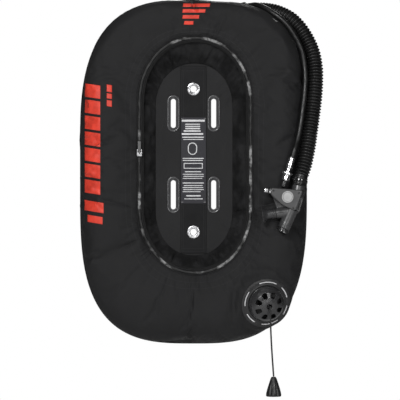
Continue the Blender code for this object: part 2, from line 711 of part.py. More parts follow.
# ---------------------------------------------------------------- elbow and hoses
def make_elbow():
    """The port, nut and elbow on the rear of the wing that feed the inflator hose."""
    frame = place(ELBOW_CENTRE, ELBOW_AXIS)
    turned("elbow_port", [
        (15.5 * MM, 4 * MM), (18.5 * MM, 4 * MM), (18.5 * MM, -3.0 * MM), (21.5 * MM, -3.3 * MM),
        (21.5 * MM, -4.6 * MM), (18.5 * MM, -4.9 * MM), (18.5 * MM, -17 * MM), (15.5 * MM, -17 * MM),
    ], frame, NYLON, 24, ring=True)
    turned("elbow_nut", [
        (14.0 * MM, 9.6 * MM), (24 * MM, 9.6 * MM), (27 * MM, 7 * MM), (27 * MM, 0.5 * MM), (18.9 * MM, 0.5 * MM),
        (18.9 * MM, 7.6 * MM), (14.0 * MM, 7.6 * MM),
    ], frame, NYLON, 24, ring=True)

    out = ELBOW_OUT
    up = ELBOW_AXIS
    foot = ELBOW_CENTRE
    collar = Vector(INFLATOR_HOSE_ROUTE[0]) - out * GAP
    route = [foot + up * 5.0 * MM]
    centre = foot + up * ELBOW_RISE + out * ELBOW_BEND
    for i in range(7):
        angle = math.pi / 2 * i / 6
        route.append(centre - out * ELBOW_BEND * math.cos(angle) + up * ELBOW_BEND * math.sin(angle))
    route.append(collar)
    elbow = as_mesh(tube("elbow", route, 12 * MM, NYLON, 3))
    bore_route = [foot - up * 5 * MM, *route[1:-1], collar + out * 5 * MM]
    bore = as_mesh(tube("elbow_bore", bore_route, 9 * MM, None, 2, helper=True))
    foot_ring = rod("elbow_foot", 15.0 * MM, 4.6 * MM, 7.2 * MM, frame, None, 20, helper=True)
    join(elbow, foot_ring)
    cut(elbow, bore)


def make_hoses():
    """The corrugated inflator hose and the low-pressure hose, as plain tubes, with their ties and fittings."""
    hose = smooth_route(INFLATOR_HOSE_ROUTE, HOSE_SPACING, HOSE_STUB)
    tube("inflator_hose", hose, HOSE_RADIUS, RUBBER, 3)
    lp = smooth_route(LP_HOSE_ROUTE, LP_SPACING, LP_STUB)
    tube("lp_hose", lp, LP_RADIUS, RUBBER, 2)

    fine = smooth_route(INFLATOR_HOSE_ROUTE, 2 * MM)
    for name, index in (("hose_tie_elbow", 5), ("hose_tie_inflator", -6)):
        along = (fine[index + 1] - fine[index - 1]).normalized()
        frame = place(fine[index], along)
        band = ring(name, HOSE_RADIUS + 0.5 * MM, HOSE_RADIUS + 2.0 * MM, -2.4 * MM, 2.4 * MM, frame, NYLON, 24)
        head = box(f"{name}_head", (6 * MM, 5 * MM, 6 * MM), frame @ Matrix.Translation((0, 17.5 * MM, 0)),
                   helper=True)
        join(band, head)

    end = Vector(LP_HOSE_ROUTE[-1])
    down = (end - Vector(LP_HOSE_ROUTE[-2])).normalized()
    frame = place(end, down)
    turned("lp_end_ferrule", [
        (0, 25 * MM), (5 * MM, 25 * MM), (5 * MM, 21 * MM), (7 * MM, 20 * MM), (7 * MM, GAP), (0, GAP),
    ], frame, STEEL, 16)
    fitting = rod("first_stage_fitting", 8 * MM, 25 * MM + GAP, 33 * MM, frame, CHROME, 6)
    thread = rod("fitting_thread", 4.7 * MM, 30 * MM, 42 * MM, frame, None, 16, helper=True)
    join(fitting, thread)


# ---------------------------------------------------------------- power inflator
QD_FOOT = Vector((0.1729, -0.0665, -0.0531))
QD_AXIS = (Vector(LP_HOSE_ROUTE[0]) - QD_FOOT).normalized()
BADGE_AT = Vector((0.1817, INFLATOR_Y, -0.0712))
EXHAUST_AXIS = Vector((-0.41, 0, -0.91)).normalized()  # points out of the exhaust end
EXHAUST_END = Vector((0.1743, -0.0665, -0.1320))
MOUTH_AXIS = Vector((-0.993, 0, -0.118)).normalized()
MOUTH_ROOT = Vector((0.1600, -0.0665, -0.1030))
INFLATE_AXIS = Vector((-0.985, 0, 0.17)).normalized()
INFLATE_FACE = Vector((0.1486, -0.0735, -0.0600))
# The head's cover, and the body behind it, as outlines.
HEAD = ((0.1486, -0.0535), (0.2120, -0.0585), (0.1965, -0.0990), (0.1710, -0.0867), (0.1486, -0.0668))
BACK = ((0.1510, -0.0535), (0.2175, -0.0580), (0.2060, -0.0990), (0.1985, -0.1050), (0.1600, -0.0930),
        (0.1520, -0.0670))


def make_inflator():
    """The inflator's two halves and its outlets."""
    back = flat_piece("inflator_body", [list(BACK)], INFLATOR_Y + GAP / 2, INFLATOR_Y + 12.5 * MM, NYLON)
    exhaust = place(EXHAUST_END, EXHAUST_AXIS)
    mouth = place(MOUTH_ROOT, MOUTH_AXIS)
    hose_end = Vector(INFLATOR_HOSE_ROUTE[-1])
    hose_in = (hose_end - Vector(INFLATOR_HOSE_ROUTE[-2])).normalized()
    boss = place(hose_end, hose_in)
    join(
        back,
        rod("exhaust_tube_form", 11.8 * MM, -42 * MM, 0, exhaust, None, 20, helper=True),
        rod("mouth_branch_form", 10.2 * MM, -24 * MM, 0, mouth, None, 20, helper=True),
        rod("hose_boss_form", 12.6 * MM, GAP, 22 * MM, boss, None, 20, helper=True),
    )
    cover = flat_piece("inflator_cover", [list(HEAD)], INFLATOR_Y - 14.5 * MM, INFLATOR_Y - GAP / 2, GREY_NYLON)
    # The cover sits over the tubes' crowns, so they are cut to its back face.
    trim = flat_piece("cover_clearance", [grown(HEAD, 0.75 * MM)],
                      INFLATOR_Y - 40 * MM, INFLATOR_Y + GAP / 2, helper=True)
    cut(
        back,
        trim,
        rod("exhaust_bore", 9.2 * MM, -38 * MM, 5 * MM, exhaust, None, 20, helper=True),
        rod("mouth_bore", 6.5 * MM, -22 * MM, 5 * MM, mouth, None, 16, helper=True),
    )
    inflate = place(INFLATE_FACE, INFLATE_AXIS)
    cut(
        cover,
        rod("inflate_bore", 5.3 * MM, -22 * MM, 8 * MM, inflate, None, 16, helper=True),
        rod("badge_recess", 11.6 * MM, 13.6 * MM, 20 * MM, place(BADGE_AT, (0, -1, 0)),
            None, 24, helper=True),
    )
    rod("cover_badge", 11.2 * MM, 13.9 * MM, 14.9 * MM, place(BADGE_AT, (0, -1, 0)),
        LIGHT_DISC, 24)
    turned("mouthpiece", [
        (6.5 * MM, 24 * MM), (17.2 * MM, 27.5 * MM), (17.6 * MM, 26.2 * MM), (14.5 * MM, 21.5 * MM),
        (9.6 * MM, 17 * MM), (9.2 * MM, 8 * MM), (9.6 * MM, GAP), (6.5 * MM, GAP),
    ], mouth, RUBBER, 24, ring=True)
    make_inflate_button(inflate)
    make_exhaust(exhaust)
    make_coupling()


def grown(outline, distance):
    """A convex outline with each corner moved away from its middle by distance."""
    points = [Vector(point) for point in outline]
    middle = sum(points, Vector((0, 0))) / len(points)
    return [tuple(point + (point - middle).normalized() * distance) for point in points]


def make_inflate_button(frame):
    """The push button on the head's left end, its guard ring and its spring."""
    ring("inflate_guard", 5.5 * MM, 7.2 * MM, GAP + 1.3 * MM, 5.5 * MM, frame, NYLON, 20)
    button = turned("inflate_button", [
        (0, 12.6 * MM), (2.6 * MM, 12.3 * MM), (4.5 * MM, 10.6 * MM), (4.9 * MM, 8.5 * MM), (4.9 * MM, -9 * MM),
        (0, -9 * MM),
    ], frame, CHROME, 20)
    spring("inflate_spring", 3.4 * MM, 0.5 * MM, -21.4 * MM, -9.3 * MM, 3, frame)
    body_at("inflate_axis", frame.translation, button)


def make_exhaust(frame):
    """The oral-deflate valve in the lower tube: its guard, button, disc, seat and spring."""
    guard = ring("exhaust_guard", 9.0 * MM, 12.2 * MM, GAP, 7.5 * MM, frame, NYLON, 24)
    cut(guard, *guard_slots(frame))

    button = turned("deflate_button", [
        (0, 8.2 * MM), (6.6 * MM, 7.8 * MM), (8.3 * MM, 6.4 * MM), (8.3 * MM, 2.4 * MM), (1.8 * MM, 2.4 * MM),
        (1.8 * MM, -19 * MM), (0, -19 * MM),
    ], frame, CHROME, 20)
    ring("exhaust_seat", 4.6 * MM, 8.9 * MM, -14.5 * MM, -12.3 * MM, frame, NYLON)
    disc = ring("exhaust_disc", 2.1 * MM, 7.4 * MM, -16.8 * MM, -14.8 * MM, frame, RUBBER)
    spring("deflate_spring", 6.0 * MM, 0.6 * MM, -12.0 * MM, 2.1 * MM, 3, frame)
    body_at("deflate_axis", frame.translation, button, disc)


def guard_slots(frame):
    """Four bars across the guard's end that leave eight fingers round the button."""
    bars = []
    for i in range(4):
        turn = Matrix.Rotation(math.pi * (i + 0.5) / 4, 4, 'Z')
        where = frame @ turn @ Matrix.Translation((0, 0, 6.6 * MM))
        bars.append(box(f"guard_slot_{i}", (40 * MM, 5.0 * MM, 6 * MM), where, helper=True))
    return bars


def make_coupling():
    """The low-pressure quick coupling: the inflator's nipple, the socket, its sliding collar and the ferrule."""
    frame = place(QD_FOOT, QD_AXIS)
    length = (Vector(LP_HOSE_ROUTE[0]) - QD_FOOT).length
    turned("qd_nipple", [
        (0, 22 * MM), (3.4 * MM, 22 * MM), (3.4 * MM, 13 * MM), (6.6 * MM, 12 * MM), (6.6 * MM, 1.6 * MM),
        (0, 1.6 * MM),
    ], frame, NYLON, 16)
    turned("qd_socket", [
        (0, 38 * MM), (5.6 * MM, 38 * MM), (5.6 * MM, 14 * MM), (3.8 * MM, 14 * MM), (3.8 * MM, 23 * MM),
        (0, 23 * MM),
    ], frame, CHROME, 16)
    collar = turned("qd_collar", [
        (5.9 * MM, 31.5 * MM), (9.5 * MM, 31.5 * MM), (11 * MM, 30 * MM), (11 * MM, 26.5 * MM), (8 * MM, 25.5 * MM),
        (8 * MM, 14.5 * MM), (5.9 * MM, 14.5 * MM),
    ], frame, CHROME, 20, ring=True)
    turned("hose_ferrule", [
        (0, length - GAP), (6.3 * MM, length - GAP), (6.8 * MM, length - 4 * MM), (6.8 * MM, 42 * MM),
        (5.4 * MM, 38 * MM + GAP), (0, 38 * MM + GAP),
    ], frame, CHROME, 16)
    body_at("collar_axis", QD_FOOT + QD_AXIS * 14.5 * MM, collar)


# ---------------------------------------------------------------- zip slider
SLIDER_AT = Vector((ZIP_OVAL["x"] - ZIP_OVAL["half"], -ZIP_DEPTH - COIL_RISE, 0.0145))


def make_slider():
    """The zip's slider, which rides over the coil, and its pull tab."""
    slider = box("zip_slider", (11 * MM, 6.0 * MM, 14 * MM), Matrix.Translation(SLIDER_AT + Vector((0, -2.4 * MM, 0))),
                 STEEL, 1.2 * MM)
    cut(slider, box("slider_channel", (6.0 * MM, 6.4 * MM, 30 * MM), Matrix.Translation(SLIDER_AT), helper=True))
    pivot = SLIDER_AT + Vector((0, -7.4 * MM, 2 * MM))
    body_at("slider_axis", SLIDER_AT, slider)
    lean = Matrix.Rotation(math.radians(-10), 4, 'X')
    tab = box("zip_puller", (6.5 * MM, 1.4 * MM, 22 * MM),
              Matrix.Translation(pivot) @ lean @ Matrix.Translation((0, 0, 10 * MM)), NYLON, 0.5 * MM)
    body_at("puller_axis", pivot, tab)
    return pivot


def main():
    make_shells()
    make_zip()
    make_seam_binding()
    make_bladder()
    strap_front = make_panel()
    make_slots()
    make_eyelets(strap_front)
    make_retainer()
    make_dump_valve()
    make_pull_cord()
    make_elbow()
    make_hoses()
    make_inflator()
    make_slider()


main()
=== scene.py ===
"""The looks of a buoyancy compensator wing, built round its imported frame.

Metres, +Z up when worn, -Y towards the diver's back. The origin is on the centre panel's rear face.
"""

import math

import bmesh
import bpy
import numpy as np
from mathutils import Matrix, Vector
from mathutils.bvhtree import BVHTree


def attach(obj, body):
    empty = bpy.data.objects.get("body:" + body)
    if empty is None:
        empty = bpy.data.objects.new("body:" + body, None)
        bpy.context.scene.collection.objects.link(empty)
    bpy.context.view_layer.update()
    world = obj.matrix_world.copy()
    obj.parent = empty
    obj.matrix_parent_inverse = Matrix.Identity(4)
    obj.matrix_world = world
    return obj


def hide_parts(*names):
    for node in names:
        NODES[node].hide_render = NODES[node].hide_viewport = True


MM = 0.001

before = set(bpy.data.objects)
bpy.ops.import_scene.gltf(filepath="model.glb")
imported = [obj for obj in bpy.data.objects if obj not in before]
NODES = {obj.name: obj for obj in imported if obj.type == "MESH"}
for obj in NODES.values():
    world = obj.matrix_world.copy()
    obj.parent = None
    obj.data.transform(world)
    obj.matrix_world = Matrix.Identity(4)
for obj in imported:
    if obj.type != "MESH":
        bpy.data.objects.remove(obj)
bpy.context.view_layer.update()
RANDOM = np.random.default_rng(7)

# ---------------------------------------------------------------- sizes and places
WING_DEPTH = 50 * MM  # of each shell, from the outer seam
ZIP_DEPTH = 36 * MM
CREST = 0.42  # the front shell's highest line, as a share of the way from the outer seam to the zip
REAR_CREST = 0.46
CLOTH = 1.2 * MM

# An oval is two superellipse halves joined by straight sides.
# Keys: centre x, half width, top arc's centre z, its height and powers left and right, and the same below.
OUTLINE = {"x": 0, "half": 0.221, "top": 0.040, "up": 0.271, "n_up": (3.35, 2.8),
           "low": -0.060, "down": 0.297, "n_down": (3.0, 3.15)}
ZIP_OVAL = {"x": 0.003, "half": 0.108, "top": 0.110, "up": 0.128, "n_up": (2.1, 2.1),
            "low": -0.090, "down": 0.128, "n_down": (2.1, 2.1)}
PANEL_OVAL = {"x": 0.001, "half": 0.0765, "top": 0.104, "up": 0.087, "n_up": (2.1, 2.1),
              "low": -0.098, "down": 0.089, "n_down": (2.1, 2.1)}

VALVE_AXIS = Vector((0.252, -0.934, -0.252)).normalized()
VALVE_CENTRE = Vector((0.1405, -0.0440, -0.2770))
ELBOW_AXIS = Vector((0, 1, 0))
ELBOW_CENTRE = Vector((-0.008, 0.0485, 0.2570))
ELBOW_OUT = Vector((0.92, 0, 0.39)).normalized()
ELBOW_RISE = 14 * MM
ELBOW_BEND = 16 * MM

INFLATOR_Y = -66.5 * MM
QD_FOOT = Vector((0.1729, -0.0665, -0.0531))
EXHAUST_AXIS = Vector((-0.41, 0, -0.91)).normalized()
EXHAUST_END = Vector((0.1743, -0.0665, -0.1320))
MOUTH_AXIS = Vector((-0.993, 0, -0.118)).normalized()
MOUTH_ROOT = Vector((0.1600, -0.0665, -0.1030))
INFLATE_AXIS = Vector((-0.985, 0, 0.17)).normalized()
INFLATE_FACE = Vector((0.1486, -0.0735, -0.0600))
BADGE_AT = Vector((0.1817, INFLATOR_Y, -0.0712))

RETAINER_X = 98 * MM
HOSE_RADIUS = 14.2 * MM
LP_RADIUS = 5.5 * MM
CORD_RADIUS = 1.6 * MM
INFLATOR_HOSE_ROUTE = (
    (0.0164, 0.0785, 0.2673), (0.0420, 0.0780, 0.2778), (0.0700, 0.0720, 0.2875), (0.0980, 0.0605, 0.2945),
    (0.1180, 0.0460, 0.2970), (0.1390, 0.0320, 0.2965), (0.1630, 0.0180, 0.2916), (0.1830, 0.0070, 0.2814),
    (0.1970, 0.0000, 0.2696), (0.2100, -0.0055, 0.2543), (0.2235, -0.0120, 0.2310), (0.2323, -0.0180, 0.2080),
    (0.2371, -0.0240, 0.1790), (0.2372, -0.0290, 0.1500), (0.2350, -0.0340, 0.1190), (0.2311, -0.0385,
            0.0876),
    (0.2265, -0.0440, 0.0565), (0.2220, -0.0505, 0.0260), (0.2155, -0.0570, -0.0054),
    (0.2085, -0.0620, -0.0310), (0.2040, -0.0645, -0.0500),
)
LP_HOSE_ROUTE = (
    (0.1912, -0.0635, 0.0052), (0.1955, -0.0628, 0.0190), (0.2015, -0.0560, 0.0381), (0.2080, -0.0490,
            0.0690),
    (0.2128, -0.0430, 0.1045), (0.2162, -0.0400, 0.1340), (0.2175, -0.0362, 0.1600), (0.2155, -0.0325,
            0.1876),
    (0.2103, -0.0315, 0.2130), (0.2000, -0.0310, 0.2365), (0.1847, -0.0295, 0.2605), (0.1690, -0.0270,
            0.2765),
    (0.1520, -0.0220, 0.2884), (0.1370, -0.0105, 0.2980), (0.1235, 0.0065, 0.3040), (0.1105, 0.0235, 0.3040),
    (0.0980, 0.0362, 0.3016), (0.0840, 0.0434, 0.2932), (0.0680, 0.0505, 0.2820), (0.0510, 0.0560, 0.2650),
    (0.0370, 0.0585, 0.2440), (0.0265, 0.0595, 0.2180), (0.0200, 0.0600, 0.1900), (0.0175, 0.0600, 0.1640),
)
CORD_PIVOT = VALVE_CENTRE + VALVE_AXIS * 31.5 * MM
KNOB_TOP = Vector((CORD_PIVOT.x + 6.4 * MM, CORD_PIVOT.y, -0.4180))
QD_AXIS = (Vector(LP_HOSE_ROUTE[0]) - QD_FOOT).normalized()


# ---------------------------------------------------------------- meshes
def place(origin, axis=(0, 0, 1), across=None):
    """A frame at origin with its Z along axis, and its X as near to across as it can be."""
    z = Vector(axis).normalized()
    hint = Vector(across) if across else Vector((1, 0, 0))
    if abs(z.dot(hint.normalized())) > 0.95:
        hint = Vector((0, 0, 1))
    x = (hint - z * hint.dot(z)).normalized()
    turn = Matrix((x, z.cross(x), z)).transposed().to_4x4()
    return Matrix.Translation(Vector(origin)) @ turn


def add_object(name, data, look=None):
    obj = bpy.data.objects.new(name, data)
    bpy.context.scene.collection.objects.link(obj)
    if look:
        data.materials.append(look)
    return obj


def piece(obj, slot_name, *nodes, body="root"):
    """Finishes a visible piece: hides the CAD nodes it stands for and puts it on the body it rides on. Its
    slot_name, where its finish would come from, is not used.
    """
    if nodes:
        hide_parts(*nodes)
    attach(obj, body)
    return obj


def smooth(obj, angle=45):
    obj.data.shade_smooth()
    obj.data.set_sharp_from_angle(angle=math.radians(angle))
    return obj


def grid_object(name, grid, look, uv=None, closed_around=True, closed_across=False, angle=60):
    """A smooth sheet or tube over a grid of points [around, across, 3], with its UVs in metres."""
    rings, across = grid.shape[:2]
    last_ring = rings if closed_around else rings - 1
    last_step = across if closed_across else across - 1
    i, j = np.meshgrid(np.arange(last_ring), np.arange(last_step), indexing="ij")
    i_next, j_next = (i + 1) % rings, (j + 1) % across
    corners = [i * across + j, i_next * across + j, i_next * across + j_next, i * across + j_next]
    faces = np.stack(corners, axis=-1).reshape(-1, 4)
    mesh = bpy.data.meshes.new(name)
    mesh.from_pydata(grid.reshape(-1, 3).tolist(), [], faces.tolist())
    if uv is not None:
        layer = mesh.uv_layers.new(name="cloth")
        layer.data.foreach_set("uv", uv[corner_places(i, j)].ravel())
    obj = add_object(name, mesh, look)
    return smooth(obj, angle)


def corner_places(i, j):
    """Where each face's four corners are in a UV grid, which has one ring more than a closed sheet."""
    ring = np.stack([i, i + 1, i + 1, i], axis=-1).reshape(-1)
    step = np.stack([j, j, j + 1, j + 1], axis=-1).reshape(-1)
    return ring, step


def in_mm(*points):
    """Points given in millimetres, in metres."""
    return [tuple(value * MM for value in point) for point in points]


def rounded(profile, radius, steps=4, closed=False):
    """A polyline with each corner turned into a small curve, so that edges catch the light."""
    points = [Vector(point) for point in profile]
    count = len(points)
    made = []
    for i, point in enumerate(points):
        if not closed and i in (0, count - 1):
            made.append(point)
            continue
        before, after = points[i - 1], points[(i + 1) % count]
        reach_in = min(radius, 0.45 * (before - point).length)
        reach_out = min(radius, 0.45 * (after - point).length)
        start = point + (before - point).normalized() * reach_in
        end = point + (after - point).normalized() * reach_out
        for k in range(steps + 1):
            t = k / steps
            made.append(start * (1 - t) ** 2 + point * 2 * t * (1 - t) + end * t**2)
    return [tuple(point) for point in made]


def turned(name, profile, where, look, steps=72, ring=False, edge=0.5 * MM, shape=None):
    """A body turned about its frame's Z. shape(angle, height) scales the radius."""
    line = rounded(profile, edge, closed=ring)
    grid = np.zeros((steps, len(line), 3))
    for i in range(steps):
        angle = 2 * math.pi * i / steps
        for j, (radius, height) in enumerate(line):
            reach = radius * shape(angle, height) if shape else radius
            grid[i, j] = (reach * math.cos(angle), reach * math.sin(angle), height)
    flat = grid.reshape(-1, 3)
    flat[:] = flat @ np.array(where.to_3x3()).T + np.array(where.translation)
    obj = grid_object(name, grid, look, closed_across=ring, angle=50)
    return tidy_mesh(obj)


def tidy_mesh(obj, distance=0.00001):
    """Welds what coincides, such as a turned body's poles, and turns the faces outwards."""
    shape = bmesh.new()
    shape.from_mesh(obj.data)
    bmesh.ops.remove_doubles(shape, verts=shape.verts, dist=distance)
    bmesh.ops.recalc_face_normals(shape, faces=shape.faces)
    shape.to_mesh(obj.data)
    shape.free()
    return obj


def smooth_route(points, spacing):
    """Points a spacing apart on the centripetal Catmull-Rom curve through the route's own points."""
    route = [Vector(point) for point in points]
    route = [2 * route[0] - route[1], *route, 2 * route[-1] - route[-2]]
    fine = []
    for a, b, c, d in zip(route, route[1:], route[2:], route[3:]):
        t1 = (b - a).length ** 0.5
        t2 = t1 + (c - b).length ** 0.5
        t3 = t2 + (d - c).length ** 0.5
        for step in range(24):
            t = t1 + (t2 - t1) * step / 24
            ab = a + (b - a) * (t / t1)
            bc = b + (c - b) * ((t - t1) / (t2 - t1))
            cd = c + (d - c) * ((t - t2) / (t3 - t2))
            abc = ab + (bc - ab) * (t / t2)
            bcd = bc + (cd - bc) * ((t - t1) / (t3 - t1))
            fine.append(abc + (bcd - abc) * ((t - t1) / (t2 - t1)))
    fine.append(route[-2])
    return even_points(np.array(fine), spacing)


def even_points(line, spacing):
    lengths = arc_lengths(line)
    count = max(2, round(lengths[-1] / spacing))
    marks = np.linspace(0, lengths[-1], count + 1)
    return np.stack([np.interp(marks, lengths, line[:, axis]) for axis in range(3)], axis=1)


def arc_lengths(line):
    steps = np.linalg.norm(np.diff(line, axis=0), axis=1)
    return np.concatenate([[0], np.cumsum(steps)])


def carried_frames(line, hint=(0, -1, 0)):
    """For each point of a line, its direction and two cross axes carried along without twisting."""
    along = np.gradient(line, axis=0)
    along /= np.linalg.norm(along, axis=1, keepdims=True)
    side = np.array(hint, float)
    if abs(along[0].dot(side)) > 0.999:
        side = np.array([1.0, 0, 0])
    sides = []
    for direction in along:
        side = side - direction * side.dot(direction)
        side /= np.linalg.norm(side)
        sides.append(side)
    sides = np.array(sides)
    return along, sides, np.cross(along, sides)


def swept(name, line, radii, look, around=32, hint=(0, -1, 0), shape=None, solid=True):
    """A tube along a line, with a radius for each point. shape gives [points, around] extra radius."""
    _, side, up = carried_frames(line, hint)
    angles = np.linspace(0, 2 * math.pi, around, endpoint=False)
    reach = np.broadcast_to(np.array(radii)[:, None], (len(line), around)).copy()
    if shape is not None:
        reach += shape
    grid = (line[:, None] + reach[..., None] * (np.cos(angles)[None, :, None] * side[:, None]
            + np.sin(angles)[None, :, None] * up[:, None]))
    lengths = arc_lengths(line)
    uv = np.stack(np.meshgrid(lengths, np.linspace(0, 1, around + 1), indexing="ij"), axis=-1)
    obj = grid_object(name, grid, look, uv, closed_around=False, closed_across=True)
    if solid:
        shape_mesh = bmesh.new()
        shape_mesh.from_mesh(obj.data)
        open_edges = [edge for edge in shape_mesh.edges if edge.is_boundary]
        bmesh.ops.holes_fill(shape_mesh, edges=open_edges)
        bmesh.ops.recalc_face_normals(shape_mesh, faces=shape_mesh.faces)
        shape_mesh.to_mesh(obj.data)
        shape_mesh.free()
    return obj


def moulded(name, nodes, look, voxel=0.55 * MM, rounds=6):
    """CAD solids as one moulding, remeshed and relaxed so that its edges are softly rounded."""
    made = bmesh.new()
    for node in nodes:
        made.from_mesh(NODES[node].data)
    mesh = bpy.data.meshes.new(name)
    made.to_mesh(mesh)
    made.free()
    obj = add_object(name, mesh)
    return remeshed(obj, look, voxel, rounds)


def remeshed(obj, look, voxel, rounds):
    remesh = obj.modifiers.new("remesh", 'REMESH')
    remesh.mode = 'VOXEL'
    remesh.voxel_size = voxel
    relax = obj.modifiers.new("relax", 'SMOOTH')
    relax.iterations = rounds
    relax.factor = 0.5
    apply_modifiers(obj)
    obj.data.materials.clear()
    obj.data.materials.append(look)
    obj.data.shade_smooth()
    return obj


def apply_modifiers(obj):
    """Puts the modifiers' result in the object's own mesh."""
    bpy.context.view_layer.update()
    graph = bpy.context.evaluated_depsgraph_get()
    mesh = bpy.data.meshes.new_from_object(obj.evaluated_get(graph))
    obj.modifiers.clear()
    obj.data = mesh
    return obj


def thicken(obj, thickness):
    """Gives a cloth sheet its thickness, behind its outer face."""
    made = obj.modifiers.new("thickness", 'SOLIDIFY')
    made.thickness = thickness
    made.offset = -1
    return apply_modifiers(obj)


def flat_shape(name, outlines, y_low, y_high, look, bevel=0.0):
    """Flat outlines in the XZ plane, holes included, with a thickness along Y and rounded edges."""
    curve = bpy.data.curves.new(name, 'CURVE')
    curve.dimensions = '2D'
    curve.fill_mode = 'BOTH'
    curve.extrude = (y_high - y_low) / 2 - bevel
    curve.bevel_depth = bevel
    curve.bevel_resolution = 4
    curve.offset = -bevel
    for outline in outlines:
        spline = curve.splines.new('POLY')
        spline.points.add(len(outline) - 1)
        for point, (x, z) in zip(spline.points, outline):
            point.co = (x, z, 0, 1)
        spline.use_cyclic_u = True
    obj = add_object(name, curve)
    obj.matrix_world = Matrix.Translation((0, (y_low + y_high) / 2, 0)) @ Matrix.Rotation(math.pi / 2, 4, 'X')
    bpy.context.view_layer.update()
    graph = bpy.context.evaluated_depsgraph_get()
    mesh = bpy.data.meshes.new_from_object(obj.evaluated_get(graph))
    mesh.transform(obj.matrix_world)
    bpy.data.objects.remove(obj)
    mesh.materials.clear()
    made = add_object(name, mesh, look)
    return smooth(tidy_mesh(made), 35)


# ---------------------------------------------------------------- materials
class Look:
    """A Principled material under construction: its shader, and short ways to add nodes in front of it."""

    def __init__(self, name, color, roughness, metallic=0.0, specular=0.5):
        self.material = bpy.data.materials.new(name)
        self.material.use_nodes = True
        self.tree = self.material.node_tree
        self.shader = self.tree.nodes["Principled BSDF"]
        self.color = color
        self.set(base_color=(*color, 1), roughness=roughness, metallic=metallic, specular_ior_level=specular)
        self.material.diffuse_color = (*color, 1)

    def set(self, **sockets):
        for name, value in sockets.items():
            title = name.replace("_", " ").title().replace("Ior", "IOR")
            self.shader.inputs[title].default_value = value
        return self

    def node(self, kind, *inputs, **settings):
        """A node whose first inputs are linked from sockets or set to numbers."""
        made = self.tree.nodes.new(kind)
        for key, value in settings.items():
            setattr(made, key, value)
        for socket, value in zip(made.inputs, inputs):
            if isinstance(value, bpy.types.NodeSocket):
                self.tree.links.new(value, socket)
            elif value is not None:
                socket.default_value = value
        return made

    def math(self, operation, a, b=0.0, clamp=False):
        return self.node("ShaderNodeMath", a, b, operation=operation, use_clamp=clamp).outputs[0]

    def place(self, source="Object"):
        return self.node("ShaderNodeTexCoord").outputs[source]

    def scaled(self, scale, source="Object"):
        mapping = self.node("ShaderNodeMapping", self.place(source))
        mapping.inputs["Scale"].default_value = scale
        return mapping.outputs[0]

    def noise(self, scale, detail=3.0, stretch=(1, 1, 1), source="Object", roughness=0.55):
        made = self.node("ShaderNodeTexNoise", self.scaled(stretch, source))
        made.inputs["Scale"].default_value = scale
        made.inputs["Detail"].default_value = detail
        made.inputs["Roughness"].default_value = roughness
        return made.outputs[0]

    def spread(self, value, low, high, from_low=0.35, from_high=0.65):
        """A value remapped to a range, clamped."""
        made = self.node("ShaderNodeMapRange", value, from_low, from_high, low, high)
        return made.outputs[0]

    def mixed(self, share, first, second):
        made = self.node("ShaderNodeMix", data_type='RGBA')
        for socket, value in zip((made.inputs[0], made.inputs[6], made.inputs[7]), (share, first, second)):
            if isinstance(value, bpy.types.NodeSocket):
                self.tree.links.new(value, socket)
            else:
                socket.default_value = value
        return made.outputs[2]

    def link(self, value, name):
        self.tree.links.new(value, self.shader.inputs[name])
        return self

    def shaded(self, value, dark=0.7, light=1.3):
        """The base colour varied between a darker and a lighter shade by value."""
        first = (*[c * dark for c in self.color], 1)
        second = (*[min(1, c * light) for c in self.color], 1)
        return self.link(self.mixed(value, first, second), "Base Color")

    def bump(self, height, distance, strength=1.0):
        made = self.node("ShaderNodeBump")
        made.inputs["Strength"].default_value = strength
        made.inputs["Distance"].default_value = distance
        self.tree.links.new(height, made.inputs["Height"])
        before = self.shader.inputs["Normal"]
        if before.is_linked:
            self.tree.links.new(before.links[0].from_socket, made.inputs["Normal"])
        self.tree.links.new(made.outputs[0], before)
        return self


def weave_height(look, yarn, source="UV"):
    """A plain weave: rounded yarns that pass over and under each other, and where the weft is on top."""
    split = look.node("ShaderNodeSeparateXYZ", look.scaled((math.pi / yarn,) * 3, source))
    across, up = split.outputs[0], split.outputs[1 if source == "UV" else 2]
    wave_across, wave_up = look.math('SINE', across), look.math('SINE', up)
    on_top = look.math('GREATER_THAN', look.math('MULTIPLY', wave_across, wave_up), 0.0)
    warp, weft = look.math('ABSOLUTE', wave_across), look.math('ABSOLUTE', wave_up)
    kept = look.math('MULTIPLY', warp, on_top)
    other = look.math('MULTIPLY', weft, look.math('SUBTRACT', 1.0, on_top))
    return look.math('ADD', kept, other), on_top


def cloth_look(name, color, yarn, roughness=0.78, depth=0.16 * MM, source="UV", specular=0.25, painted_fold_shade=0):
    look = Look(name, color, roughness, specular=specular)
    height, on_top = weave_height(look, yarn, source)
    wear = look.noise(14, 5, source="Object")
    shade = look.math('ADD', look.math('MULTIPLY', on_top, 0.25), look.spread(wear, 0.15, 0.75))
    # Painted shade: a noise of the given scale darkens the cloth in patches that stand for the shadows in
    # folds, and the colour's range widens.
    if painted_fold_shade:
        shade = look.math('MULTIPLY', shade, look.spread(look.noise(painted_fold_shade, 2), 0.0, 1.3, 0.42, 0.6))
    look.shaded(shade, 0.5 if painted_fold_shade else 0.72, 1.5 if painted_fold_shade else 1.3)
    look.link(look.spread(wear, roughness - 0.08, roughness + 0.08), "Roughness")
    look.bump(look.noise(2600, 2), 0.05 * MM, 0.6)
    look.bump(height, depth, 0.8)
    return look.set(sheen_weight=0.02, sheen_roughness=0.5)


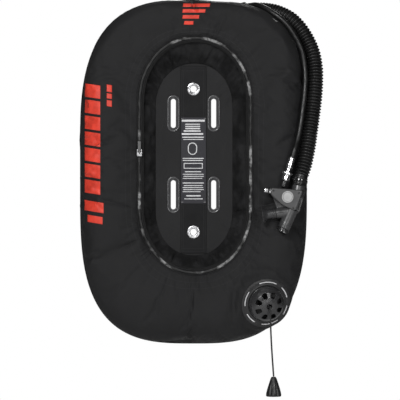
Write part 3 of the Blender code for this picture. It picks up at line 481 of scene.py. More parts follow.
def webbing_look(name, color, rib=1.9 * MM):
    """Woven tape: fine ribs along its length, with a herringbone across them."""
    look = Look(name, color, 0.72, specular=0.16)
    split = look.node("ShaderNodeSeparateXYZ", look.scaled((math.pi / rib,) * 3, "Object"))
    ribs = look.math('ABSOLUTE', look.math('SINE', split.outputs[0]))
    cross = look.math('ABSOLUTE', look.math('SINE', look.math('MULTIPLY', split.outputs[2], 1.6)))
    height = look.math('ADD', ribs, look.math('MULTIPLY', cross, 0.45))
    look.shaded(look.spread(look.noise(22, 4), 0.2, 0.9), 0.75, 1.3)
    look.bump(look.noise(2200, 2), 0.04 * MM, 0.5)
    look.bump(height, 0.22 * MM, 0.8)
    return look.set(sheen_weight=0.02, sheen_roughness=0.5)


def moulded_look(name, color, roughness=0.42, grain=0.03 * MM, specular=0.45):
    """Injection-moulded nylon: a fine spark-eroded grain, faint flow marks and handling wear."""
    look = Look(name, color, roughness, specular=specular)
    look.shaded(look.spread(look.noise(38, 4), 0.2, 0.8), 0.8, 1.22)
    look.link(look.spread(look.noise(70, 5), roughness - 0.09, roughness + 0.1), "Roughness")
    look.bump(look.noise(1500, 2), grain, 0.7)
    return look


def rubber_look(name, color, roughness=0.5, specular=0.4):
    """Rubber with a faint bloom and tiny scuffs."""
    look = Look(name, color, roughness, specular=specular)
    look.shaded(look.spread(look.noise(30, 5), 0.1, 0.9), 0.75, 1.45)
    look.link(look.spread(look.noise(120, 5), roughness - 0.1, roughness + 0.12), "Roughness")
    look.bump(look.noise(900, 3), 0.03 * MM, 0.6)
    return look


def metal_look(name, color, roughness, brushed=0.0):
    look = Look(name, color, roughness, metallic=1.0)
    look.link(look.spread(look.noise(160, 4), roughness * 0.7, roughness * 1.5), "Roughness")
    if brushed:
        look.bump(look.noise(900, 2, stretch=(1, 1, 0.04)), brushed, 0.5)
    return look


def cord_look(name, color):
    """A braided cord: two crossed sets of strands round it."""
    look = Look(name, color, 0.65, specular=0.3)
    split = look.node("ShaderNodeSeparateXYZ", look.place("UV"))
    along = look.math('MULTIPLY', split.outputs[0], 2 * math.pi / (2.2 * MM))
    round_it = look.math('MULTIPLY', split.outputs[1], 2 * math.pi * 4)
    one = look.math('SINE', look.math('ADD', along, round_it))
    other = look.math('SINE', look.math('SUBTRACT', along, round_it))
    look.bump(look.math('MAXIMUM', one, other), 0.18 * MM, 0.9)
    look.shaded(look.spread(one, 0.2, 0.8, -1, 1), 0.7, 1.5)
    return look


def print_look(name, color):
    """Screen print on cloth: the weave shows through it, and it has worn a little."""
    look = Look(name, color, 0.5, specular=0.35)
    height, _ = weave_height(look, 0.9 * MM, "Object")
    look.shaded(look.spread(look.noise(60, 6), 0.0, 1.0), 0.82, 1.12)
    look.bump(height, 0.1 * MM, 0.6)
    return look


def zip_film_look():
    """The film over the zip's coil: dark and glossy, with painted highlights: pale patches at random along
    it.
    """
    look = Look("zip_coil_film", (0.012, 0.012, 0.012), 0.5, specular=0.25)
    # Painted highlight: noise picks pale patches along the coil that stand for glints.
    painted_glint_patches = look.spread(look.noise(24, 2), 0.0, 1.0, 0.53, 0.61)
    fine = look.spread(look.noise(190, 3), 0.25, 1.0, 0.38, 0.56)
    share = look.math('MULTIPLY', painted_glint_patches, fine)
    look.link(look.mixed(share, (0.011, 0.011, 0.011, 1), (0.22, 0.22, 0.22, 1)), "Base Color")
    look.bump(look.noise(160, 4), 0.5 * MM, 0.5)
    return look


def clear_film_look():
    look = Look("bladder_film", (0.30, 0.30, 0.28), 0.45)
    look.bump(look.noise(45, 4), 0.4 * MM, 0.5)
    look.shaded(look.noise(20, 3), 0.8, 1.2)
    return look


SHELL_CLOTH = cloth_look("shell_cloth", (0.0125, 0.0125, 0.0130), 0.9 * MM, 0.6, specular=0.14).material
# The gusset's cloth: a darker base than the shell's, with painted shade in patches for its folds.
GUSSET_CLOTH = cloth_look("gusset_cloth", (0.0105, 0.0105, 0.0109), 0.9 * MM, specular=0.12,
                          painted_fold_shade=26).material
PANEL_CLOTH = cloth_look("panel_cloth", (0.0165, 0.0165, 0.0170), 0.9 * MM, source="Object",
                         specular=0.16).material
STRAP = webbing_look("strap_webbing", (0.0085, 0.0085, 0.009)).material
TAPE = webbing_look("zip_tape_cloth", (0.006, 0.006, 0.006), 1.1 * MM).material
THREAD = cord_look("thread", (0.03, 0.03, 0.032)).material
COIL = zip_film_look().material
PALE_THREAD = cord_look("pale_thread", (0.22, 0.22, 0.22)).material
ZINC = metal_look("zinc", (0.50, 0.50, 0.51), 0.3, 0.03 * MM).material
FILM = clear_film_look().material
STEEL = metal_look("brushed_steel", (0.62, 0.62, 0.63), 0.26, 0.05 * MM).material
CHROME = metal_look("chrome", (0.80, 0.80, 0.81), 0.12).material
HOSE = rubber_look("hose_rubber", (0.005, 0.005, 0.005), 0.38, 0.35).material
RUBBER = rubber_look("soft_rubber", (0.010, 0.010, 0.010), 0.42).material
BLACK_NYLON = moulded_look("black_nylon", (0.010, 0.010, 0.0105), 0.33).material
SLOT_NYLON = moulded_look("slot_nylon", (0.055, 0.055, 0.057), 0.24, specular=0.7).material
MOUTH_RUBBER = rubber_look("mouth_rubber", (0.021, 0.021, 0.022), 0.34).material
PATCH = rubber_look("valve_patch_rubber", (0.012, 0.012, 0.0125), 0.4).material
CAP_NYLON = moulded_look("cap_nylon", (0.022, 0.022, 0.023), 0.27, specular=0.6).material
GREY_NYLON = moulded_look("grey_nylon", (0.047, 0.047, 0.048), 0.42).material
BODY_NYLON = moulded_look("body_nylon", (0.033, 0.033, 0.034), 0.3, specular=0.6).material
TIE_NYLON = moulded_look("tie_nylon", (0.012, 0.012, 0.012), 0.16, specular=0.8).material
DISC = moulded_look("disc_print", (0.36, 0.36, 0.36), 0.55).material
LABEL = cloth_look("label_weave", (0.020, 0.0195, 0.024), 0.35 * MM, 0.6, 0.05 * MM, "Object").material
PALE_PRINT = print_look("pale_print", (0.55, 0.55, 0.56)).material
RED_PRINT = print_look("red_print", (0.62, 0.045, 0.025)).material
CORD = cord_look("cord_braid", (0.02, 0.02, 0.02)).material


# ---------------------------------------------------------------- camera, light and floor
VIEW_AT = Vector((0.0127, 0, -0.0772))
VIEW_WIDTH = 0.7816  # of what the camera sees at the panel
CAMERA_DISTANCE = 6.0


def make_camera():
    data = bpy.data.cameras.new("camera")
    data.sensor_width = 36
    data.lens = 36 * CAMERA_DISTANCE / VIEW_WIDTH
    data.clip_end = 100
    camera = bpy.data.objects.new("camera", data)
    bpy.context.scene.collection.objects.link(camera)
    camera.location = VIEW_AT + Vector((0, -CAMERA_DISTANCE, 0))
    camera.rotation_euler = (math.pi / 2, 0, 0)
    bpy.context.scene.camera = camera


def area_light(name, at, size, power, aim=(0.0, 0.0, -0.05)):
    data = bpy.data.lights.new(name, 'AREA')
    data.shape = 'RECTANGLE'
    data.size, data.size_y = size
    data.energy = power
    light = bpy.data.objects.new(name, data)
    bpy.context.scene.collection.objects.link(light)
    light.location = at
    light.rotation_euler = (Vector(aim) - Vector(at)).to_track_quat('-Z', 'Y').to_euler()


def make_studio():
    """A white surround that the camera sees at full strength and the object at much less, and soft boxes."""
    bpy.context.scene.view_settings.view_transform = 'Standard'
    world = bpy.data.worlds.new("studio")
    bpy.context.scene.world = world
    world.use_nodes = True
    tree = world.node_tree
    seen = tree.nodes["Background"]
    seen.inputs["Color"].default_value = (1, 1, 1, 1)
    seen.inputs["Strength"].default_value = 1.0
    glow = tree.nodes.new("ShaderNodeBackground")
    glow.inputs["Color"].default_value = (1, 1, 1, 1)
    glow.inputs["Strength"].default_value = 0.055
    which = tree.nodes.new("ShaderNodeLightPath")
    mix = tree.nodes.new("ShaderNodeMixShader")
    tree.links.new(which.outputs["Is Camera Ray"], mix.inputs[0])
    tree.links.new(glow.outputs[0], mix.inputs[1])
    tree.links.new(seen.outputs[0], mix.inputs[2])
    tree.links.new(mix.outputs[0], tree.nodes["World Output"].inputs["Surface"])

    area_light("key", (-0.95, -3.0, 1.3), (1.1, 0.9), 84)
    area_light("side", (1.3, -2.9, 0.3), (0.5, 1.6), 30)
    area_light("under", (0.1, -3.0, -0.9), (1.8, 0.6), 9)
    area_light("behind", (0.6, 2.8, 1.4), (2.0, 1.6), 34)
    area_light("top", (0.0, -0.2, 2.2), (1.6, 1.0), 5)

    floor_look = Look("floor_paint", (0.86, 0.86, 0.86), 0.7)
    floor_look.shaded(floor_look.noise(3, 4), 0.99, 1.01)
    floor_height, half = -0.95, 2.6
    corners = [(-half, -half, 0), (half, -half, 0), (half, half, 0), (-half, half, 0)]
    mesh = bpy.data.meshes.new("floor")
    mesh.from_pydata(corners, [], [(0, 1, 2, 3)])
    floor = add_object("floor", mesh, floor_look.material)
    floor.location.z = floor_height


# ---------------------------------------------------------------- cords
RIB_PITCH = 6.0 * MM
RIB_DEPTH = 2.9 * MM
RIB_SWELL = 1.1 * MM  # how much wider the hose is beyond its keeper than under it
CUFF = 21 * MM  # the smooth end of the corrugated hose, under its tie


def make_inflator_hose():
    """The corrugated hose, rib by rib, with a smooth cuff at each end and a cable tie round each cuff."""
    line = smooth_route(INFLATOR_HOSE_ROUTE, 0.5 * MM)
    lengths = arc_lengths(line)
    total = lengths[-1]
    ribbed = total - 2 * CUFF
    count = round(ribbed / RIB_PITCH)
    turn = np.clip((lengths - CUFF) / ribbed, 0, 1) * count
    crest = (0.5 - 0.5 * np.cos(2 * math.pi * turn)) ** 0.75
    beyond = np.clip((line[:, 0] - 0.172) / 0.02, 0, 1) * np.clip((total - CUFF - lengths) / (20 * MM), 0, 1)
    radii = HOSE_RADIUS + RIB_SWELL * beyond - RIB_DEPTH + RIB_DEPTH * crest
    for end in (lengths, total - lengths):
        cuff = end < CUFF
        radii[cuff] = HOSE_RADIUS - 1.3 * MM
        lip = np.abs(end - 1.6 * MM) < 1.6 * MM
        radii[lip] += 0.8 * MM * np.cos((end[lip] / MM - 1.6) / 1.6 * math.pi / 2)
        bead = np.abs(end - 0.72 * CUFF) < 1.5 * MM
        radii[bead] += 0.7 * MM
    hose = swept("corrugated_hose", line, radii, HOSE, 40)
    piece(hose, "rubber", "inflator_hose")
    fine = smooth_route(INFLATOR_HOSE_ROUTE, 2 * MM)
    for node, index in (("hose_tie_elbow", 5), ("hose_tie_inflator", -6)):
        where = place(fine[index], fine[index + 1] - fine[index - 1])
        make_tie(node, where)
    return hose


def make_tie(node, where):
    """A ratchet cable tie: its toothed band, its head, and the cut end of its tail."""
    inner, outer = HOSE_RADIUS - 0.9 * MM, HOSE_RADIUS + 0.5 * MM
    band = turned(f"{node}_band", [(inner, 2.4 * MM), (outer, 2.4 * MM), (outer, -2.4 * MM), (inner,
            -2.4 * MM)],
                  where, TIE_NYLON, 96, True, 0.4 * MM,
                  shape=lambda angle, height: 1 + 0.006 * math.sin(angle * 60))
    piece(band, "nylon", node)
    head = chamfered_box(f"{node}_head", (6.4 * MM, 4.6 * MM, 6.6 * MM), 0.9 * MM,
                         where @ Matrix.Translation((0, HOSE_RADIUS + 2.2 * MM, 0)), TIE_NYLON)
    tail = chamfered_box(f"{node}_tail", (3.0 * MM, 1.3 * MM, 4.6 * MM), 0.4 * MM,
                         where @ Matrix.Translation((2.2 * MM, HOSE_RADIUS + 4.4 * MM, 0))
                         @ Matrix.Rotation(0.3, 4, 'Z'), TIE_NYLON)
    for part in (head, tail):
        piece(part, "nylon")
    return band


def chamfered_box(name, size, radius, where, look):
    shape = bmesh.new()
    bmesh.ops.create_cube(shape, size=1, matrix=Matrix.Diagonal((*size, 1)))
    bmesh.ops.bevel(shape, geom=list(shape.edges), offset=radius, segments=3, affect='EDGES', profile=0.5)
    shape.transform(where)
    mesh = bpy.data.meshes.new(name)
    shape.to_mesh(mesh)
    shape.free()
    return smooth(add_object(name, mesh, look), 30)


def make_lp_hose(fitting):
    """The smooth low-pressure hose and the pale dashes printed along its outer side. Its fitting, the crimped
    first-stage end made before it, is not used.
    """
    line = smooth_route(LP_HOSE_ROUTE, 1.5 * MM)
    hose = swept("low_pressure_hose", line, np.full(len(line), LP_RADIUS), HOSE, 32, hint=(1, 0, 0))
    piece(hose, "rubber", "lp_hose")
    marks = hose_dashes(line)
    return hose


def hose_dashes(line):
    """A printed dashed line, a film 0.05 mm proud of the rubber."""
    _, side, up = carried_frames(line, (1, 0, 0))
    lengths = arc_lengths(line)
    half, period, share = 0.10, 9 * MM, 0.72
    mesh = bpy.data.meshes.new("hose_dashes")
    shape = bmesh.new()
    reach = LP_RADIUS + 0.06 * MM
    angles = [0.25 + half * k for k in (-1, 0, 1)]
    before = None
    for i, centre in enumerate(line):
        shown = (lengths[i] % period) < period * share and 12 * MM < lengths[i] < 0.30
        if not shown:
            before = None
            continue
        row = []
        for angle in angles:
            out = side[i] * math.cos(angle) + up[i] * math.sin(angle)
            row += [shape.verts.new(centre + out * reach), shape.verts.new(centre + out * (reach - 0.2 * MM))]
        if before:
            for k in (0, 2):
                shape.faces.new((before[k], row[k], row[k + 2], before[k + 2]))
                shape.faces.new((before[k + 1], before[k + 3], row[k + 3], row[k + 1]))
            shape.faces.new((before[0], before[1], row[1], row[0]))
            shape.faces.new((before[4], row[4], row[5], before[5]))
        else:
            shape.faces.new((row[0], row[2], row[3], row[1]))
            shape.faces.new((row[2], row[4], row[5], row[3]))
        before = row
    close_holes(shape)
    shape.to_mesh(mesh)
    shape.free()
    return piece(add_object("hose_dashes", mesh, PALE_PRINT), "light_disc")


def close_holes(shape):
    edges = [edge for edge in shape.edges if edge.is_boundary]
    bmesh.ops.holes_fill(shape, edges=edges)
    bmesh.ops.recalc_face_normals(shape, faces=shape.faces)


def make_pull_cord():
    """The dump valve's braided cord, from the valve's stem, and its fluted knob."""
    drop = KNOB_TOP - CORD_PIVOT
    route = [CORD_PIVOT + Vector((0, 0, -0.2 * MM)), CORD_PIVOT + drop * 0.33 + Vector((-1.2 * MM, 0, 0)),
             CORD_PIVOT + drop * 0.66 + Vector((-1.0 * MM, 0, 0)), KNOB_TOP + Vector((0, 0, 0.3 * MM))]
    line = smooth_route(route, 1.0 * MM)
    cord = swept("dump_cord", line, np.full(len(line), CORD_RADIUS), CORD, 16)
    piece(cord, "nylon", "pull_cord", body="pull")
    knob = make_knob()
    return cord


def make_knob():
    """The pull knob: a bell with fluted sides, so that a gloved hand can hold it."""
    flutes = 14

    def fluted(angle, height):
        share = min(1, max(0, (-height - 6 * MM) / (16 * MM)))
        return 1 - 0.085 * share * (0.5 - 0.5 * math.cos(angle * flutes)) ** 0.6

    profile = in_mm((0, -0.1), (3.6, -0.2), (4.4, -1.0), (6.0, -4), (7.6, -9), (9.6, -15), (12.4, -24),
            (14.4, -32), (14.9, -36), (14.0, -38.6), (0, -38.9))
    knob = turned("dump_knob", profile, place(KNOB_TOP), RUBBER, 140, edge=1.6 * MM, shape=fluted)
    return piece(knob, "rubber", "pull_knob", body="pull")


# ---------------------------------------------------------------- the wing's surface
ARC_STEPS = 120  # grid steps round each half of an oval
SIDE_STEPS = 20  # and along each straight side
FRONT_STEPS = 20  # from the outer seam to the zip
GUSSET_STEPS = 8
REAR_STEPS = 26
PUFF_LIMIT = 5 * MM  # how far the inflated cloth may move from its drawn shape


def arc_point(oval, angle, upper):
    half = oval["half"]
    height, middle, powers = (
        (oval["up"], oval["top"], oval["n_up"]) if upper else (oval["down"], oval["low"], oval["n_down"])
    )
    c, s = math.cos(angle), math.sin(angle)
    share = (1 + c) / 2  # 1 at the right, 0 at the left
    power = powers[0] * share + powers[1] * (1 - share)
    reach = (abs(c) ** power + abs(s) ** power) ** (-1 / power)
    return oval["x"] + half * reach * c, middle + height * reach * s


def oval_points(oval, arc_steps=ARC_STEPS, side_steps=SIDE_STEPS):
    """Points anticlockwise as the diver sees it, from the right end of the top arc."""
    points = [arc_point(oval, math.pi * i / arc_steps, True) for i in range(arc_steps + 1)]
    left, right = oval["x"] - oval["half"], oval["x"] + oval["half"]
    fall = oval["top"] - oval["low"]
    points += [(left, oval["top"] - fall * i / side_steps) for i in range(1, side_steps)]
    points += [arc_point(oval, math.pi * (1 + i / arc_steps), False) for i in range(arc_steps + 1)]
    points += [(right, oval["low"] + fall * i / side_steps) for i in range(1, side_steps)]
    return np.array(points)


SEAM_LINE = oval_points(OUTLINE)
ZIP_LINE = oval_points(ZIP_OVAL)
PANEL_LINE = oval_points(PANEL_OVAL)


def front_depth(share):
    """How far the front shell stands out at a share of the way from the seam to the zip."""
    rise = np.sqrt(np.clip(1 - ((CREST - share) / CREST) ** 2, 0, 1))
    beyond = (share - CREST) / (1 - CREST)
    return np.where(share < CREST, WING_DEPTH * rise, WING_DEPTH - (WING_DEPTH - ZIP_DEPTH) * beyond**2)


def rear_depth(share):
    rise = np.sqrt(np.clip(1 - ((REAR_CREST - share) / REAR_CREST) ** 2, 0, 1))
    beyond = np.clip((share - REAR_CREST) / (1 - REAR_CREST), 0, 1)
    fall = np.cos(beyond * math.pi / 2).clip(0) ** 0.8
    return np.where(share < REAR_CREST, WING_DEPTH * rise, WING_DEPTH * fall)


def even_shares(depth, span, steps):
    """Shares that divide a section's own curve, over a span of cloth, into equal lengths."""
    fine = np.linspace(0, 1, 800) ** 1.5
    section = np.stack([fine * span, depth(fine), 0 * fine], axis=1)
    lengths = arc_lengths(section)
    return np.interp(np.linspace(0, lengths[-1], steps + 1), lengths, fine)


def between(outer, inner, shares):
    """Plan points at the given shares of the way from one oval to another."""
    shares = np.array(shares)[None, :, None]
    return outer[:, None, :] * (1 - shares) + inner[:, None, :] * shares


def sheet(plan, depths):
    """Plan points [around, across, 2] with a depth for each step across, as x, y, z."""
    y = np.broadcast_to(np.array(depths)[None, :], plan.shape[:2])
    return np.stack([plan[..., 0], y, plan[..., 1]], axis=-1)


def shift_out(line, distance):
    """An oval moved outwards in its plane by distance."""
    along = np.roll(line, -1, axis=0) - np.roll(line, 1, axis=0)
    along /= np.linalg.norm(along, axis=-1, keepdims=True)
    return line + distance * np.stack([along[:, 1], -along[:, 0]], axis=-1)


def port_fade(grid, centre, axis, flat, reach):
    """1 within flat of a port's axis, falling to 0 at reach, and the points' heights over its plane."""
    offset = grid - np.array(centre)
    height = offset @ np.array(axis)
    aside = np.linalg.norm(offset - height[..., None] * np.array(axis), axis=-1)
    fade = np.clip((reach - aside) / (reach - flat), 0, 1)
    return fade * fade * (3 - 2 * fade), height


def flatten(grid, centre, axis, flat, reach):
    """Pulls the cloth onto a port's plane."""
    fade, height = port_fade(grid, centre, axis, flat, reach)
    return grid - (height * fade)[..., None] * np.array(axis)


def wing_sections():
    """The drawn cloth as one closed ring of sections, and where its front, gusset and rear lie in it."""
    zip_outer, zip_inner = shift_out(ZIP_LINE, 4 * MM), shift_out(ZIP_LINE, -4 * MM)
    panel_edge = shift_out(PANEL_LINE, 0.6 * MM)
    shares = even_shares(front_depth, 0.115, FRONT_STEPS)
    front = sheet(between(SEAM_LINE, zip_outer, shares), -front_depth(shares))
    front[:, 1:] = flatten(front[:, 1:], VALVE_CENTRE, VALVE_AXIS, 44 * MM, 64 * MM)
    t = np.linspace(0, 1, GUSSET_STEPS + 1)
    gusset_depth = np.interp(t, [0, 0.5, 1], [-ZIP_DEPTH + 1.5 * MM, -0.56 * ZIP_DEPTH, -4.0 * MM])
    gusset = sheet(between(zip_inner, shift_out(PANEL_LINE, -1.6 * MM), t), gusset_depth)
    shares = even_shares(rear_depth, 0.145, REAR_STEPS)
    rear = sheet(between(SEAM_LINE, panel_edge, shares), rear_depth(shares))
    rear[:, -1] = sheet(shift_out(PANEL_LINE, -1.6 * MM)[:, None], [1.0 * MM])[:, 0]
    rear = flatten(rear, ELBOW_CENTRE, ELBOW_AXIS, 34 * MM, 54 * MM)
    ring = np.concatenate([front, gusset, rear[:, :0:-1]], axis=1)
    ends = {
        "front": (0, FRONT_STEPS + 1),
        "gusset": (FRONT_STEPS + 1, FRONT_STEPS + GUSSET_STEPS + 2),
        "rear": (FRONT_STEPS + GUSSET_STEPS + 2, ring.shape[1]),
    }
    return ring, ends


def inflate(ring, ends):
    """Blows the drawn cloth up: slack cloth held along its seams, the zip, the panel and the two ports."""
    around, across = ring.shape[:2]
    obj = grid_object("inflating", ring, SHELL_CLOTH, closed_across=True)
    held = np.zeros((around, across))
    for first, last in ends.values():
        held[:, first] = 1
        held[:, last - 1] = 1
    held[:, ends["rear"][1] - 1] = 0
    for centre, axis, flat in ((VALVE_CENTRE, VALVE_AXIS, 50 * MM), (ELBOW_CENTRE, ELBOW_AXIS, 34 * MM)):
        near, height = port_fade(ring, centre, axis, flat, flat + 8 * MM)
        held = np.maximum(held, (near > 0.6) & (np.abs(height) < 30 * MM))
    tight = np.zeros((around, across))
    for first, last in (ends["front"], ends["rear"]):
        steps = np.arange(first, last)
        from_edge = np.minimum(steps - first, last - 1 - steps)
        tight[:, first:last] = np.clip(1 - from_edge / 3, 0, 1)
    for name, weights in (("held", held), ("tight", tight)):
        group = obj.vertex_groups.new(name=name)
        for value in np.unique(weights):
            group.add(np.flatnonzero(weights.ravel() == value).tolist(), float(value), 'REPLACE')
    cloth = obj.modifiers.new("cloth", 'CLOTH')
    settings = cloth.settings
    settings.quality = 6
    settings.mass = 0.3
    settings.air_damping = 3
    settings.tension_stiffness = 40
    settings.compression_stiffness = 18
    settings.shear_stiffness = 6
    settings.bending_stiffness = 0.25
    settings.effector_weights.gravity = 0
    settings.use_pressure = True
    settings.uniform_pressure_force = 3.2
    settings.vertex_group_mass = "held"
    settings.pin_stiffness = 1
    settings.vertex_group_shrink = "tight"
    settings.shrink_min = -0.028
    settings.shrink_max = 0.012
    cloth.collision_settings.use_collision = False
    scene = bpy.context.scene
    frames = 20
    scene.frame_start, scene.frame_end = 1, frames
    cloth.point_cache.frame_start, cloth.point_cache.frame_end = 1, frames
    for step in range(1, frames + 1):
        scene.frame_set(step)
    graph = bpy.context.evaluated_depsgraph_get()
    moved = obj.evaluated_get(graph).data
    co = np.empty(len(moved.vertices) * 3)
    moved.vertices.foreach_get("co", co)
    bpy.data.objects.remove(obj)
    scene.frame_set(1)
    shift = co.reshape(ring.shape) - ring
    length = np.linalg.norm(shift, axis=-1, keepdims=True)
    return ring + shift * np.minimum(1, PUFF_LIMIT / np.maximum(length, 1e-9))


def finer(grid, times=2):
    """The grid with times as many steps each way, on Catmull-Rom curves. It stays closed around."""
    def along_first(points, closed):
        count = len(points)
        steps = np.arange(count * times if closed else (count - 1) * times + 1)
        base, t = steps // times, (steps % times) / times
        if closed:
            picks = [points[(base + k) % count] for k in (-1, 0, 1, 2)]
        else:
            padded = np.concatenate([[2 * points[0] - points[1]], points, [2 * points[-1] - points[-2]],
                                     [3 * points[-1] - 2 * points[-2]]])
            picks = [padded[base + k + 1] for k in (-1, 0, 1, 2)]
        t = t.reshape(-1, *[1] * (points.ndim - 1))
        a, b, c, d = picks
        return 0.5 * (2 * b + (c - a) * t + (2 * a - 5 * b + 4 * c - d) * t**2
                      + (3 * b - a - 3 * c + d) * t**3)

    dense = along_first(grid, True)
    return along_first(dense.swapaxes(0, 1), False).swapaxes(0, 1)


def grid_normals(grid):
    along = np.roll(grid, -1, axis=0) - np.roll(grid, 1, axis=0)
    across = np.gradient(grid, axis=1)
    normal = np.cross(along, across)
    return normal / np.linalg.norm(normal, axis=-1, keepdims=True)


def waves(count, low, high, around):
    """A closed wavy line of count random harmonics between two wave numbers, about 1 high."""
    t = np.linspace(0, 2 * math.pi, around, endpoint=False)
    line = np.zeros(around)
    for _ in range(count):
        line += np.sin(RANDOM.integers(low, high) * t + RANDOM.uniform(0, 2 * math.pi))
    return line / math.sqrt(count / 2)


def gather(grid, outward, column, reach, count, height):
    """Puckers where cloth is gathered into a seam: short ridges across it that die out over reach."""
    around = grid.shape[0]
    distance = np.abs(np.cumsum(np.linalg.norm(np.diff(grid, axis=1, prepend=grid[:, :1]), axis=-1), axis=1))
    distance = np.abs(distance - distance[:, column][:, None])
    sharp = waves(7, count // 2, count, around)
    ridge = np.sign(sharp) * np.abs(sharp) ** 0.8
    strength = np.clip(0.55 + 0.45 * waves(4, 3, 11, around), 0.1, 1.4)
    local = reach * np.clip(0.8 + 0.35 * waves(5, 5, 25, around), 0.3, 1.6)
    near = np.clip(distance / (3 * MM), 0, 1) * np.exp(-distance / local[:, None])
    lift = height * ridge[:, None] * strength[:, None] * near
    return grid + outward * lift[..., None]


def cloth_uv(grid, crest):
    """UVs in metres along the cloth: its plan, with the curved parts rolled out flat."""
    plan = grid[..., [0, 2]]
    step = np.diff(plan, axis=1, prepend=plan[:, :1])
    flat = np.linalg.norm(step, axis=-1)
    real = np.linalg.norm(np.diff(grid, axis=1, prepend=grid[:, :1]), axis=-1)
    roll = step * np.where(flat > 1e-6, real / np.maximum(flat, 1e-6), 1)[..., None]
    rolled = np.cumsum(roll, axis=1)
    uv = plan[:, crest][:, None] + rolled - rolled[:, crest][:, None]
    return np.concatenate([uv, uv[:1]], axis=0)


def make_wing():
    """The front and rear shells and the gusset, inflated, gathered into their seams and thickened."""
    drawn, ends = wing_sections()
    ring = inflate(drawn, ends)
    parts = {}
    for name, (first, last) in ends.items():
        strip = ring[:, first:last]
        if name == "rear":
            strip = np.concatenate([strip, ring[:, :1]], axis=1)
        parts[name] = finer(strip)

    front = parts["front"]
    normal = grid_normals(front)
    normal *= -np.sign(normal[:, front.shape[1] // 2, 1].mean())
    front = gather(front, normal, front.shape[1] - 1, 19 * MM, 150, 1.1 * MM)
    front = gather(front, normal, 0, 11 * MM, 170, 0.55 * MM)
    front[:, 0, 1] = -0.4 * MM
    uv = cloth_uv(front, front.shape[1] // 3)
    shell = thicken(grid_object("front_shell", front, SHELL_CLOTH, uv), CLOTH)
    piece(shell, "cordura", "shell_front")

    gusset = parts["gusset"]
    normal = grid_normals(gusset)
    normal *= -np.sign(normal[:, gusset.shape[1] // 2, 1].mean())
    t = np.linspace(0, 1, gusset.shape[1])
    swell = np.sin(math.pi * t) ** 0.8
    around = gusset.shape[0]
    folds = waves(6, 14, 48, around)[:, None] * swell * 1.5 * MM
    slack = np.stack([waves(5, 10, 60, around) for _ in range(5)], axis=1)
    slack = np.stack([np.interp(t, np.linspace(0, 1, 5), row) for row in slack]) * swell * 0.9 * MM
    gusset = gusset + normal * (folds + slack - 1.0 * MM * swell)[..., None]
    uv = cloth_uv(gusset, gusset.shape[1] // 2)
    side = thicken(grid_object("gusset", gusset, GUSSET_CLOTH, uv), 1.0 * MM)
    piece(side, "cordura", "inner_gusset")

    rear = parts["rear"]
    normal = grid_normals(rear)
    normal *= np.sign(normal[:, rear.shape[1] // 2, 1].mean())
    rear = gather(rear, normal, rear.shape[1] - 1, 11 * MM, 170, 0.55 * MM)
    rear = gather(rear, normal, 0, 16 * MM, 130, 0.8 * MM)
    rear[:, -1, 1] = 0.4 * MM
    uv = cloth_uv(rear, 2 * rear.shape[1] // 3)
    back = thicken(grid_object("rear_shell", rear, SHELL_CLOTH, uv), CLOTH)
    piece(back, "cordura", "shell_rear")
    return {"front": front, "gusset": gusset, "rear": rear, "front_object": shell, "rear_object": back}


# ---------------------------------------------------------------- zip, seams and stitches
COIL_RISE = 1.6 * MM
TOOTH_PITCH = 1.6 * MM


def loop_line(oval_line, y, spacing=1.2 * MM):
    """A closed line round an oval at depth y, as evenly spaced points."""
    ring = np.stack([oval_line[:, 0], np.full(len(oval_line), y), oval_line[:, 1]], axis=1)
    ring = np.concatenate([ring, ring[:1]])
    return even_points(ring, spacing)[:-1]


def band_object(name, line, section, look, wave=None, reach=None):
    """A closed band along a loop. section holds points (out in the plane, forwards), closed across."""
    along = np.roll(line, -1, axis=0) - np.roll(line, 1, axis=0)
    along /= np.linalg.norm(along, axis=1, keepdims=True)
    out = np.stack([along[:, 2], 0 * along[:, 0], -along[:, 0]], axis=1)
    front = np.array([0.0, -1.0, 0.0])
    section = np.array(section)
    aside = np.broadcast_to(section[None, :, :1], (len(line), len(section), 1)).copy()
    if reach is not None:
        aside[..., 0] += reach[:, None] * (section[None, :, 0] > 0) * section[None, :, 0] / section[:,
                0].max()
    grid = line[:, None] + out[:, None] * aside + front * section[None, :, 1:]
    if wave is not None:
        grid = grid + wave(np.arange(len(line)), section)[..., None] * front
    lengths = arc_lengths(np.concatenate([line, line[:1]]))
    uv = np.stack(np.meshgrid(lengths, np.linspace(0, 1, len(section) + 1), indexing="ij"), axis=-1)
    return grid_object(name, grid, look, uv, closed_across=True, angle=70)


